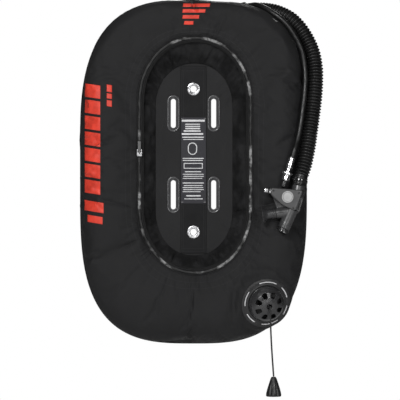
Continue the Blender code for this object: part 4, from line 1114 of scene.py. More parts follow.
def make_zip():
    """The service zip: a cloth tape each side, the coil under its water-shedding film, and the cloth lips
    beside it.
    """
    line = loop_line(ZIP_LINE, -ZIP_DEPTH, 0.8 * MM)
    sag = waves(7, 3, 40, len(line)) * 0.5 * MM
    line[:, 1] += 0.35 * sag
    half, thick = 8.6 * MM, 0.7 * MM
    tape = [(-half, -1.6 * MM), (-half * 0.5, -0.6 * MM), (0, -0.2 * MM), (half * 0.5, -0.4 * MM),
            (half, -1.2 * MM), (half, -1.2 * MM - thick), (0, -0.2 * MM - thick), (-half, -1.6 * MM - thick)]
    rim = band_object("zip_tape", line, tape, TAPE)
    piece(rim, "webbing", "zip_tape")

    steps = 18
    angles = np.linspace(0, 2 * math.pi, steps, endpoint=False)
    section = [(2.9 * MM * math.cos(a), 0.5 * MM + 1.7 * MM * math.sin(a)) for a in angles]
    tilt = waves(9, 4, 36, len(line)) * 0.9 * MM
    tilt += waves(7, 40, 90, len(line)) * 0.28 * MM
    swell = waves(7, 5, 60, len(line)) * 0.35 * MM
    toothed = np.clip(0.5 + 0.5 * waves(5, 2, 7, len(line)), 0, 1)

    def wave(index, section):
        across = section[:, 0] / (2.9 * MM)
        forward = np.clip(section[:, 1] / (2.2 * MM), 0, 1)
        turn = 2 * math.pi * index * 0.8 * MM / TOOTH_PITCH
        teeth = 0.16 * MM * toothed[index, None] * np.sin(turn)[:, None]
        lean = tilt[index, None] * across[None, :] * 0.55
        return (teeth + lean + swell[index, None]) * forward[None, :]

    ridge = band_object("zip_coil", line, section, COIL, wave)
    piece(ridge, "zip", "zip_coil")
    lips = []
    for side in (-1, 1):
        lip = loop_line(shift_out(ZIP_LINE, side * 4.3 * MM), -ZIP_DEPTH + 0.2 * MM)
        lip[:, 1] += waves(7, 6, 60, len(lip)) * 0.35 * MM
        fold = in_mm((-1.1, -0.3), (-0.9, 0.8), (0, 1.2), (0.9, 0.8), (1.1, -0.3), (0, -0.6))
        made = band_object("zip_lip_outer" if side > 0 else "zip_lip_inner", lip, fold, SHELL_CLOTH)
        lips.append(piece(made, "cordura"))
    return lips


def stitch_row(name, line, normals, length=2.6 * MM, gap=1.0 * MM, radius=0.26 * MM, look=None, closed=False):
    """Lockstitches along a line: small capsules that lie half sunk in the cloth."""
    line = np.concatenate([line, line[:1]]) if closed else line
    normals = np.concatenate([normals, normals[:1]]) if closed else normals
    lengths = arc_lengths(line)
    starts = np.arange(0, lengths[-1] - length, length + gap)
    sides, shares = 5, (0, 0.12, 0.5, 0.88, 1)
    bulge = (0.15, 0.8, 1.0, 0.8, 0.15)
    marks = starts[:, None] + np.array(shares)[None, :] * length
    at = np.stack([np.interp(marks, lengths, line[:, k]) for k in range(3)], axis=-1)
    normal = np.stack([np.interp(marks, lengths, normals[:, k]) for k in range(3)], axis=-1)
    normal /= np.linalg.norm(normal, axis=-1, keepdims=True)
    along = np.gradient(at, axis=1)
    along /= np.maximum(np.linalg.norm(along, axis=-1, keepdims=True), 1e-12)
    across = np.cross(along, normal)
    arch = np.array([-0.35, 0.05, 0.3, 0.05, -0.35]) * radius
    angles = np.linspace(0, 2 * math.pi, sides, endpoint=False)
    ring = (across[:, :, None] * np.cos(angles)[None, None, :, None]
            + normal[:, :, None] * np.sin(angles)[None, None, :, None])
    points = at[:, :, None] + ring * (radius * np.array(bulge))[None, :, None, None]
    points = points + (normal * arch[None, :, None])[:, :, None]
    count, rings = len(starts), len(shares)
    i, j, k = np.meshgrid(np.arange(count), np.arange(rings - 1), np.arange(sides), indexing="ij")
    base = i * rings * sides
    near, far = base + j * sides, base + (j + 1) * sides
    turn = (k + 1) % sides
    faces = np.stack([near + k, near + turn, far + turn, far + k], axis=-1).reshape(-1, 4).tolist()
    for stitch in range(count):
        first = stitch * rings * sides
        faces.append([first + k for k in range(sides)][::-1])
        faces.append([first + (rings - 1) * sides + k for k in range(sides)])
    mesh = bpy.data.meshes.new(name)
    mesh.from_pydata(points.reshape(-1, 3).tolist(), [], faces)
    obj = add_object(name, mesh, look or THREAD)
    obj.data.shade_smooth()
    return piece(obj, "webbing")


def make_seams(wing):
    """Topstitching beside the zip, and the piping of bound cloth round the wing's outer edge."""
    for name, grid, columns in (("front", wing["front"], (-5, -8)), ("rear", wing["rear"], (-2,))):
        normal = grid_normals(grid)
        normal *= (-1 if name == "front" else 1) * np.sign(normal[:, grid.shape[1] // 2, 1].mean())
        for number, column in enumerate(columns):
            stitch_row(f"{name}_topstitch_{number}", grid[:, column], normal[:, column], closed=True)
    line = loop_line(shift_out(SEAM_LINE, -0.6 * MM), 0, 2.0 * MM)
    wobble = waves(9, 20, 120, len(line)) * 0.25 * MM
    steps = 10
    angles = np.linspace(0, 2 * math.pi, steps, endpoint=False)
    section = [(1.3 * MM * math.cos(a), 1.5 * MM * math.sin(a)) for a in angles]
    line[:, 1] += wobble
    x, z = line[:, 0], line[:, 2]
    # Near the upper right the piping widens outwards into a dark band towards the low-pressure hose: it fills
    # the gap between the wing's edge and the hose, and is painted shade for the shadow there.
    shadow_band_share = np.clip((x - 0.145) / 0.02, 0, 1) * np.clip((z - 0.075) / 0.03, 0, 1)
    wide = 8 * MM + 4 * MM * np.clip((0.235 - z) / 0.03, 0, 1)
    piping = band_object("edge_piping", line, section, TAPE, reach=shadow_band_share * wide)
    piece(piping, "webbing", "seam_binding")


# ---------------------------------------------------------------- centre panel
PANEL_FRONT = 3.3 * MM
STRAP_FRONT = 5.4 * MM
LABEL_FRONT = 6.3 * MM
STRAP_HALF = 25 * MM
STRAP_LOW, STRAP_HIGH = -0.1810, 0.1840
SLOT_X = 39.4 * MM
SLOT_Z = (0.092, -0.067)
SLOT_OUTER = (25 * MM, 72 * MM)
SLOT_OPENING = (9.6 * MM, 58.6 * MM)
EYELET_Z = 139.7 * MM
EYELET_BORE = 6.4 * MM
EYELET_FLANGE = 13.8 * MM


def stadium(x, z, width, height, steps=24):
    """A slot's outline, anticlockwise, as evenly turned points."""
    radius = width / 2
    straight = height / 2 - radius
    top = [(x + radius * math.cos(a), z + straight + radius * math.sin(a))
           for a in np.linspace(0, math.pi, steps)]
    foot = [(x + radius * math.cos(a), z - straight + radius * math.sin(a))
            for a in np.linspace(math.pi, 2 * math.pi, steps)]
    return top + foot


def soft_sheet(name, y_at, look, spacing=2.2 * MM, box=None):
    """A fine square grid of cloth over a region, at the depth y_at(x, z)."""
    x_low, x_high, z_low, z_high = box
    xs = np.linspace(x_low, x_high, round((x_high - x_low) / spacing) + 1)
    zs = np.linspace(z_low, z_high, round((z_high - z_low) / spacing) + 1)
    gx, gz = np.meshgrid(xs, zs, indexing="ij")
    grid = np.stack([gx, y_at(gx, gz), gz], axis=-1)
    obj = grid_object(name, grid, look, closed_around=False)
    return obj


def panel_wrinkles(x, z):
    """How far the slack panel cloth stands out: long soft folds that run down from its upper corners."""
    def fold(x0, z0, angle, length, width, height):
        c, s = math.cos(angle), math.sin(angle)
        along, aside = (x - x0) * c + (z - z0) * s, -(x - x0) * s + (z - z0) * c
        bend = aside + 0.12 * along**2 / length
        return height * np.exp(-((along / length) ** 2) - (bend / width) ** 2)

    lift = 0.18 * MM * np.sin(x * 90 + 1.3 * np.sin(z * 40)) * np.sin(z * 55 + 2 * np.sin(x * 30))
    folds = (
        (0.052, 0.150, 0.75, 0.020, 0.0035, 0.9), (0.058, 0.135, 0.55, 0.018, 0.0030, 0.8),
        (0.045, 0.128, 0.35, 0.016, 0.0026, 0.7), (0.064, 0.115, 1.1, 0.015, 0.0035, 0.6),
        (0.036, 0.168, 0.9, 0.014, 0.0030, 0.5), (-0.052, 0.152, -0.9, 0.018, 0.0035, 0.6),
        (-0.060, 0.060, 1.35, 0.030, 0.0035, 0.5), (0.062, 0.020, 1.4, 0.032, 0.0040, 0.5),
        (-0.058, -0.020, 1.7, 0.028, 0.0035, 0.5), (0.060, -0.125, 2.3, 0.018, 0.0035, 0.6),
        (-0.050, -0.140, 0.8, 0.020, 0.0035, 0.6), (0.010, -0.171, 0.1, 0.024, 0.0028, 0.4),
    )
    for x0, z0, angle, length, width, height in folds:
        lift = lift + fold(x0, z0, angle, length, width, height * MM)
    return lift


def make_panel():
    """The panel's slack front ply, cut from a fine grid along its CAD outline."""
    outline = [tuple(p) for p in shift_out(PANEL_LINE, 0.2 * MM)]
    holes = [stadium(side * SLOT_X, z, SLOT_OUTER[0] - 6 * MM, SLOT_OUTER[1] - 6 * MM)
             for z in SLOT_Z for side in (-1, 1)]
    holes += [circle(0, side * EYELET_Z, EYELET_BORE + 1.6 * MM) for side in (-1, 1)]
    slab = flat_shape("panel_cut", [outline, *holes], -20 * MM, 10 * MM, PANEL_CLOTH)
    sheet_box = (-0.079, 0.081, -0.190, 0.194)
    front = soft_sheet("panel_front", lambda x, z: -PANEL_FRONT - panel_wrinkles(x, z) * 1.7, PANEL_CLOTH,
                       1.1 * MM, sheet_box)
    thick = front.modifiers.new("thickness", 'SOLIDIFY')
    thick.thickness = 1.1 * MM
    thick.offset = 1
    apply_modifiers(front)
    centre = np.array([v.co.y for v in front.data.vertices]).mean()
    if centre < -PANEL_FRONT - 0.4 * MM:
        front.data.transform(Matrix.Translation((0, 1.1 * MM, 0)))
    trim = front.modifiers.new("trim", 'BOOLEAN')
    trim.operation = 'INTERSECT'
    trim.object = slab
    apply_modifiers(front)
    bpy.data.objects.remove(slab)
    front.data.materials.clear()
    front.data.materials.append(PANEL_CLOTH)
    smooth(front, 40)
    piece(front, "cordura", "panel_front")


def make_strap():
    """The webbing strap down the panel, its double rows of stitches and its hemmed ends."""
    half = STRAP_HALF
    strap = [(-half, STRAP_LOW), (half, STRAP_LOW), (half, STRAP_HIGH), (-half, STRAP_HIGH)]
    bolts = [circle(0, side * EYELET_Z, EYELET_BORE + 1.6 * MM) for side in (-1, 1)]
    webbing = flat_shape("centre_strap", [strap, *bolts], -STRAP_FRONT, -PANEL_FRONT - 0.3 * MM, STRAP,
                         0.5 * MM)
    piece(webbing, "webbing", "centre_strap")
    facing = np.array([0.0, -1.0, 0.0])
    level = -STRAP_FRONT - 0.02 * MM
    number = 0
    for x in (-half + 2.0 * MM, -half + 5.2 * MM, half - 5.2 * MM, half - 2.0 * MM):
        line = np.array([(x, level, STRAP_LOW + 3 * MM), (x, level, STRAP_HIGH - 3 * MM)])
        line = even_points(line, 3 * MM)
        stitch_row(f"strap_stitch_{number}", line, np.tile(facing, (len(line), 1)), 3.0 * MM, 1.1 * MM,
                   0.3 * MM)
        number += 1
    for z in (STRAP_LOW + 3 * MM, STRAP_LOW + 9 * MM, STRAP_HIGH - 3 * MM, STRAP_HIGH - 9 * MM):
        line = even_points(np.array([(-half + 2 * MM, level, z), (half - 2 * MM, level, z)]), 3 * MM)
        stitch_row(f"strap_hem_{number}", line, np.tile(facing, (len(line), 1)), 3.0 * MM, 1.1 * MM, 0.3 * MM)
        number += 1


def circle(x, z, radius, steps=64):
    return [(x + radius * math.cos(2 * math.pi * i / steps), z + radius * math.sin(2 * math.pi * i / steps))
            for i in range(steps)]


def rounded_outline(x_low, x_high, z_low, z_high, radius, steps=6):
    corners = [(x_low, z_low), (x_high, z_low), (x_high, z_high), (x_low, z_high)]
    return rounded(corners, radius, steps, closed=True)


def make_label():
    """The woven label: folded edges, corner bar tacks and rows of plain pale bars in place of print."""
    half, reach = 24.5 * MM, 84 * MM
    base = -STRAP_FRONT - 0.3 * MM
    outline = rounded_outline(-half, half, -reach, reach, 1.2 * MM)
    patch = flat_shape("label_patch", [outline], -LABEL_FRONT, base, LABEL, 0.25 * MM)
    piece(patch, "label", "label_patch")
    bars = (
        (-23, 22, 77.6, 3.8), (-16, 13, 70.7, 2.0), (-16, 13, 66.5, 2.0), (-16, 13, 62.3, 2.6), (-19, 14,
                57.5, 2.6),
        (-23, 19, 51.7, 3.2), (-22, 20, 45.3, 2.0), (-20, 19, 41.0, 1.4), (-21, 20, 4.0, 1.6), (-21, 18,
                0.0, 1.6),
        (-17, 15, -22.0, 1.8), (-21, 20, -27.0, 1.4), (-20, 20, -31.0, 1.4), (-21, 17, -35.0, 1.4),
        (-21, 20, -44.0, 1.8), (-19, 18, -49.0, 1.4), (-21, 19, -53.0, 1.4), (-20, 20, -57.0, 1.4),
        (-21, 14, -61.0, 1.4), (-14, 14, -69.0, 2.4), (-18, 18, -75.0, 1.6),
    )
    face = -LABEL_FRONT
    for number, (low, high, z, height) in enumerate(bars):
        bar = rounded_outline(low * MM, high * MM, (z - height / 2) * MM, (z + height / 2) * MM, 0.4 * MM)
        made = flat_shape(f"label_bar_{number}", [bar], face - 0.1 * MM, face + 0.1 * MM, PALE_PRINT)
        piece(made, "light_disc")
    frames = (
        (stadium(-2 * MM, 23 * MM, 18 * MM, 24 * MM), stadium(-2 * MM, 23 * MM, 14.5 * MM, 20.5 * MM)),
        (rounded_outline(-19 * MM, 18 * MM, -16 * MM, -5 * MM, 1 * MM),
         rounded_outline(-17.6 * MM, 16.6 * MM, -14.6 * MM, -6.4 * MM, 0.6 * MM)),
    )
    for number, outlines in enumerate(frames):
        made = flat_shape(f"label_frame_{number}", list(outlines), face - 0.1 * MM, face + 0.1 * MM,
                          PALE_PRINT)
        piece(made, "light_disc")
    for sx in (-1, 1):
        for sz in (-1, 1):
            x, z = sx * (half - 2.6 * MM), sz * (reach - 2.6 * MM)
            bar_tack(f"label_tack_{sx}_{sz}", (x, face - 0.05 * MM, z), (0, -1, 0), (1, 0, 0), 3.6 * MM,
                     1.4 * MM)
    facing = np.array([0.0, -1.0, 0.0])
    edge = rounded_outline(-half + 1.5 * MM, half - 1.5 * MM, -reach + 1.5 * MM, reach - 1.5 * MM, 1 * MM)
    line = even_points(np.array([(x, face - 0.02 * MM, z) for x, z in [*edge, edge[0]]]), 2 * MM)
    stitch_row("label_stitch", line, np.tile(facing, (len(line), 1)), 2.2 * MM, 0.9 * MM, 0.22 * MM)


def bar_tack(name, at, out, across, length, width, look=None):
    """A dense zigzag of thread: a row of tiny capsules side by side."""
    where = place(at, out, across)
    count = max(4, round(length / (0.5 * MM)))
    lines = []
    for i in range(count):
        x = (i / (count - 1) - 0.5) * length
        lines.append([where @ Vector((x, -width / 2, 0)), where @ Vector((x + 0.25 * MM, width / 2, 0))])
    shape = bmesh.new()
    for start, end in lines:
        middle, direction = (start + end) / 2, (end - start)
        made = bmesh.ops.create_uvsphere(shape, u_segments=8, v_segments=6, radius=1)
        turn = place(middle, direction) @ Matrix.Diagonal((0.28 * MM, 0.28 * MM, direction.length / 2, 1))
        bmesh.ops.transform(shape, matrix=turn, verts=made["verts"])
    mesh = bpy.data.meshes.new(name)
    shape.to_mesh(mesh)
    shape.free()
    obj = add_object(name, mesh, look or PALE_THREAD)
    obj.data.shade_smooth()
    return piece(obj, "webbing")


def make_slots():
    """The four moulded slot frames: a rounded lip round a funnel that narrows to the band's opening."""
    lip, front = PANEL_FRONT + 0.3 * MM, PANEL_FRONT + 2.5 * MM
    width, opening = SLOT_OUTER[0] / 2, SLOT_OPENING[0] / 2
    section = rounded([
        (width, lip), (width - 0.2 * MM, front - 0.9 * MM), (width - 1.4 * MM, front), (width - 2.6 * MM,
                front),
        (opening + 1.4 * MM, 2.2 * MM), (opening, 1.0 * MM), (opening, 0.4 * MM), (opening + 1.2 * MM,
                0.4 * MM),
        (opening + 2.0 * MM, lip - 0.6 * MM), (width - 3 * MM, lip),
    ], 0.6 * MM, closed=True)
    straight = (SLOT_OUTER[1] - SLOT_OUTER[0]) / 2
    for z, row in zip(SLOT_Z, ("upper", "lower")):
        for side, hand in ((-1, "right"), (1, "left")):
            rings = []
            for centre, angles in ((straight, np.linspace(0, math.pi, 25)),
                                   (-straight, np.linspace(math.pi, 2 * math.pi, 25))):
                for angle in angles:
                    rings.append([(side * SLOT_X + out * math.cos(angle), -forward,
                                   z + centre + out * math.sin(angle)) for out, forward in section])
            frame_piece = grid_object(f"slot_frame_{row}_{hand}", np.array(rings), SLOT_NYLON,
                                      closed_across=True,
                                      angle=50)
            tidy_mesh(frame_piece)
            piece(frame_piece, "nylon", f"band_slot_{row}_{hand}")


def make_eyelets():
    """Rolled steel eyelets."""
    for side, row in ((1, "upper"), (-1, "lower")):
        where = place((0, 0, side * EYELET_Z), (0, -1, 0))
        wall = EYELET_BORE + 1.2 * MM
        profile = [
            (EYELET_BORE, STRAP_FRONT + 1.0 * MM), (EYELET_BORE + 1.4 * MM, STRAP_FRONT + 2.6 * MM),
            (EYELET_FLANGE - 2 * MM, STRAP_FRONT + 2.6 * MM), (EYELET_FLANGE, STRAP_FRONT + 0.3 * MM),
            (wall, STRAP_FRONT + 0.3 * MM), (wall, -1.4 * MM), (EYELET_BORE, -1.4 * MM),
        ]
        eyelet = turned(f"eyelet_ring_{row}", profile, where, STEEL, 96, ring=True, edge=1.0 * MM)
        piece(eyelet, "stainless", f"eyelet_{row}")


# ---------------------------------------------------------------- zip slider
SLIDER_AT = Vector((ZIP_OVAL["x"] - ZIP_OVAL["half"], -ZIP_DEPTH - COIL_RISE, 0.0145))


def make_slider():
    """The slider that runs on the coil, with the bridge its pull hangs on."""
    body = moulded("slider_body", ["zip_slider"], ZINC, 0.25 * MM, 8)
    piece(body, "stainless", "zip_slider", body="slider")
    pivot = SLIDER_AT + Vector((0, -7.4 * MM, 2 * MM))
    arch = [pivot + Vector((0, 2.2 * MM, -4.6 * MM)), pivot + Vector((0, 0.2 * MM, -4.2 * MM)),
            pivot + Vector((0, -0.9 * MM, -2.4 * MM)), pivot + Vector((0, -0.4 * MM, -1.6 * MM))]
    line = smooth_route(arch, 0.4 * MM)
    bridge = swept("slider_bridge", line, np.full(len(line), 0.8 * MM), ZINC, 16)
    piece(bridge, "stainless", body="slider")
    puller = moulded("slider_puller", ["zip_puller"], BLACK_NYLON, 0.22 * MM, 6)
    piece(puller, "nylon", "zip_puller", body="puller")


# ---------------------------------------------------------------- forms shared by the moulded parts
def rod_form(shape, radius, low, high, where, steps=72, edge=0.6 * MM):
    """Adds a closed cylinder with rounded ends to a bmesh."""
    profile = rounded([(0, low), (radius, low), (radius, high), (0, high)], edge, 3)
    rings = []
    for i in range(steps):
        angle = 2 * math.pi * i / steps
        rings.append([shape.verts.new(where @ Vector((r * math.cos(angle), r * math.sin(angle), h)))
                      for r, h in profile[1:-1]])
    ends = [shape.verts.new(where @ Vector((0, 0, h))) for _, h in (profile[0], profile[-1])]
    for one, two in zip(rings, rings[1:] + rings[:1]):
        for a, b, c, d in zip(one, two, two[1:], one[1:]):
            shape.faces.new((a, b, c, d))
        shape.faces.new((ends[0], two[0], one[0]))
        shape.faces.new((ends[1], one[-1], two[-1]))


def form_object(name, build, look=None):
    """An object from a function that fills a bmesh."""
    shape = bmesh.new()
    build(shape)
    bmesh.ops.recalc_face_normals(shape, faces=shape.faces)
    mesh = bpy.data.meshes.new(name)
    shape.to_mesh(mesh)
    shape.free()
    return add_object(name, mesh, look)


def cut_with(target, *cutters):
    for cutter in cutters:
        made = target.modifiers.new("cut", 'BOOLEAN')
        made.operation = 'DIFFERENCE'
        made.object = cutter
    apply_modifiers(target)
    for cutter in cutters:
        bpy.data.objects.remove(cutter)
    return target


def rod_cutter(name, radius, low, high, where):
    return form_object(name, lambda shape: rod_form(shape, radius, low, high, where, 72, 0.05 * MM))


# ---------------------------------------------------------------- dump valve
WINDOWS = 8


def make_valve():
    """The dump valve: rubber patch, flanged body and a domed cap with eight windows between its spokes."""
    where = place(VALVE_CENTRE, VALVE_AXIS)
    patch = turned("valve_patch", in_mm((22.8, 1.9), (34.6, 1.9), (36.0, 2.5), (38, 2.5), (39.4, 1.9),
            (45.6, 1.9), (46.6, 1.4), (49, 1.0), (49, 0.1), (44, 0.7), (22.8, 0.7)), where, PATCH, 160,
            ring=True, edge=0.5 * MM)
    piece(patch, "rubber", "valve_patch")
    marks = ((0.2, 0.75), (1.05, 1.9), (2.5, 3.2), (3.6, 4.15), (4.5, 5.3), (5.65, 6.1))
    for number, (start, end) in enumerate(marks):
        arc_print(f"valve_mark_{number}", where, 41.7 * MM, 43.5 * MM, 2.0 * MM, start, end)
    body = turned("valve_flange", in_mm((13.5, 5.0), (33, 5.0), (35, 3.6), (35, 2.6), (15.8, 2.6),
            (15.8, -14), (10, -14), (10, -11.5), (13.5, -11.5)), where, BLACK_NYLON, 128, ring=True)
    piece(body, "nylon", "valve_body")
    cap = turned("valve_cap", in_mm((4.6, 26.2), (6.0, 27.4), (10, 27.3), (18, 25.7), (27, 21.3),
            (32.5, 14.5), (35, 8.5), (35.2, 5.4), (32.8, 5.4), (32.4, 8.0), (30.0, 13.4), (25.2, 19.0),
            (17, 23.2), (11, 24.4), (11, 15), (9.6, 15), (9.6, 24.4), (4.6, 24.4)), where, CAP_NYLON, 128,
            ring=True, edge=0.7 * MM)

    def windows(shape):
        for i in range(WINDOWS):
            turn = where @ Matrix.Rotation(2 * math.pi * (i + 0.5) / WINDOWS, 4, 'Z')
            corners = rounded(in_mm((16.6, -3.8), (27.6, -5.6), (27.6, 5.6), (16.6, 3.8)), 3.4 * MM, 5,
                              closed=True)
            levels = [[shape.verts.new(turn @ Vector((x, y, height))) for x, y in corners]
                      for height in (9 * MM, 40 * MM)]
            for k, a in enumerate(levels[0]):
                following = (k + 1) % len(corners)
                shape.faces.new((a, levels[0][following], levels[1][following], levels[1][k]))
            shape.faces.new(levels[0][::-1])
            shape.faces.new(levels[1])

    cut_with(cap, form_object("cap_windows", windows))
    remeshed(cap, CAP_NYLON, 0.4 * MM, 5)
    piece(cap, "nylon", "valve_cap")
    inner = turned("valve_inner_ring", in_mm((16.5, 9.5), (17.5, 9.5), (17.5, 5.2), (16.5, 5.2)), where,
                   BLACK_NYLON, 96, ring=True, edge=0.2 * MM)
    piece(inner, "nylon")


def arc_print(name, where, inner, outer, height, start, end):
    """A pale printed arc on a flat ring."""
    steps = max(4, round((end - start) / 0.05))
    rings = []
    for angle in np.linspace(start, end, steps + 1):
        row = []
        for radius, level in ((inner, height), (outer, height), (outer, height - 0.3 * MM),
                              (inner, height - 0.3 * MM)):
            row.append(tuple(where @ Vector((radius * math.cos(angle), radius * math.sin(angle), level))))
        rings.append(row)
    obj = grid_object(name, np.array(rings), PALE_PRINT, closed_around=False, closed_across=True)
    shape = bmesh.new()
    shape.from_mesh(obj.data)
    close_holes(shape)
    shape.to_mesh(obj.data)
    shape.free()
    return piece(obj, "light_disc")


# ---------------------------------------------------------------- elbow and hose ends
def make_elbow():
    """The elbow on the wing's rear and the fluted nut that clamps it to its port."""
    where = place(ELBOW_CENTRE, ELBOW_AXIS)
    nut = turned("elbow_nut", in_mm((14.0, 9.6), (23, 9.6), (26.6, 7.6), (27, 1.2), (26, 0.5),
            (18.9, 0.5), (18.9, 7.6), (14.0, 7.6)), where, BLACK_NYLON, 240, ring=True,
        shape=lambda angle, height: 1 - (0.035 * max(0, math.cos(angle * 20)) if height > 0.4 * MM else 0))
    piece(nut, "nylon", "elbow_nut")
    foot = ELBOW_CENTRE
    route = [foot + ELBOW_AXIS * 5.0 * MM]
    centre = foot + ELBOW_AXIS * ELBOW_RISE + ELBOW_OUT * ELBOW_BEND
    for i in range(25):
        angle = math.pi / 2 * i / 24
        route.append(centre - ELBOW_OUT * ELBOW_BEND * math.cos(angle)
                     + ELBOW_AXIS * ELBOW_BEND * math.sin(angle))
    route.append(Vector(INFLATOR_HOSE_ROUTE[0]) - ELBOW_OUT * 0.3 * MM)
    line = np.array([tuple(point) for point in route])
    line = even_points(line, 0.8 * MM)
    lengths = arc_lengths(line)
    radii = np.full(len(line), 12.0 * MM)
    lip = lengths[-1] - lengths
    radii[lip < 3 * MM] = 12.6 * MM
    pipe = swept("elbow", line, radii, BLACK_NYLON, 72)
    piece(pipe, "nylon", "elbow")
    ring_low = turned("elbow_foot", in_mm((11, 7.3), (13.6, 7.3), (13.6, 9.9), (12, 11), (11, 11)), where,
                      BLACK_NYLON, 96, ring=True, edge=0.3 * MM)
    piece(ring_low, "nylon")


def make_lp_end():
    """The first-stage end of the low-pressure hose: a crimped ferrule, a hexagon and its thread."""
    end = Vector(LP_HOSE_ROUTE[-1])
    where = place(end, end - Vector(LP_HOSE_ROUTE[-2]))
    ferrule = turned("lp_ferrule", in_mm((0, 25), (5, 25), (5, 21), (6.9, 20), (7, 15), (6.5, 14.2),
            (6.5, 12.6), (7, 11.8), (7, 8), (6.5, 7.2), (6.5, 5.6), (7, 4.8), (7, 0.3), (0, 0.3)), where,
            STEEL, 64, edge=0.3 * MM)
    piece(ferrule, "stainless", "lp_end_ferrule")
    hexed = turned("first_stage_hex", in_mm((0, 33), (7.4, 33), (8, 32.2), (8, 26), (7.4, 25.3),
            (0, 25.3)), where, CHROME, 96, edge=0.3 * MM,
        shape=lambda angle, height: 0.985 * math.cos(math.pi / 6)
        / math.cos((angle % (math.pi / 3)) - math.pi / 6))
    piece(hexed, "chromed_brass", "first_stage_fitting")
    pitch = 1.2 * MM

    def threaded(angle, height):
        return 1 - 0.09 * (0.5 + 0.5 * math.cos(2 * math.pi * height / pitch - angle))

    heights = np.arange(35 * MM, 41.6 * MM, 0.2 * MM)
    stem = turned("first_stage_thread", [(0, 33 * MM), (4.0 * MM, 33 * MM), (4.0 * MM, 34.8 * MM),
                                         *[(4.7 * MM, h) for h in heights], (4.0 * MM, 42 * MM), (0,
                                                 42 * MM)],
                  where, CHROME, 48, edge=0.05 * MM, shape=threaded)
    piece(stem, "chromed_brass")
    return [ferrule, hexed, stem]


def make_retainer():
    """The webbing loop round both hoses at the top of the wing."""
    width, wall, spare = 14 * MM, 1.2 * MM, 2.7 * MM
    hose = smooth_route(INFLATOR_HOSE_ROUTE, 1.5 * MM)
    lp = smooth_route(LP_HOSE_ROUTE, 1.5 * MM)
    index = int(np.argmin(np.abs(hose[:, 0] - RETAINER_X)))
    where = place(hose[index], hose[index + 1] - hose[index - 1], (0, 1, 0))
    back = where.inverted()
    local = [back @ Vector(point) for point in lp]
    nearest = min(range(len(local)), key=lambda i: local[i].length_squared)
    crossing = min(local[max(0, nearest - 12):nearest + 12], key=lambda point: abs(point.z))
    distance = math.hypot(crossing.x, crossing.y)
    direction = math.atan2(crossing.y, crossing.x)
    corners = []
    sections = rounded([(spare, -width / 2), (spare, width / 2), (spare + wall, width / 2),
                        (spare + wall, -width / 2)], 0.35 * MM, 3, closed=True)
    for extra, half in sections:
        hose_reach, lp_reach = HOSE_RADIUS + extra, LP_RADIUS + extra
        spread = math.acos((hose_reach - lp_reach) / distance)
        line = []
        for i in range(97):
            angle = direction + spread + (2 * math.pi - 2 * spread) * i / 96
            line.append(where @ Vector((hose_reach * math.cos(angle), hose_reach * math.sin(angle), half)))
        for i in range(33):
            angle = direction - spread + 2 * spread * i / 32
            x, y = crossing.x + lp_reach * math.cos(angle), crossing.y + lp_reach * math.sin(angle)
            line.append(where @ Vector((x, y, half)))
        corners.append(line)
    grid = np.array([[tuple(point) for point in line] for line in corners]).transpose(1, 0, 2)
    loop = grid_object("hose_retainer", grid, STRAP, closed_across=True, angle=40)
    tidy_mesh(loop)
    piece(loop, "webbing", "hose_retainer")


# ---------------------------------------------------------------- power inflator
# The head's cover, and the body behind it, as outlines.
HEAD = ((0.1486, -0.0535), (0.2120, -0.0585), (0.1965, -0.0990), (0.1710, -0.0867), (0.1486, -0.0668))
BACK = ((0.1510, -0.0535), (0.2175, -0.0580), (0.2060, -0.0990), (0.1985, -0.1050), (0.1600, -0.0930),
        (0.1520, -0.0670))


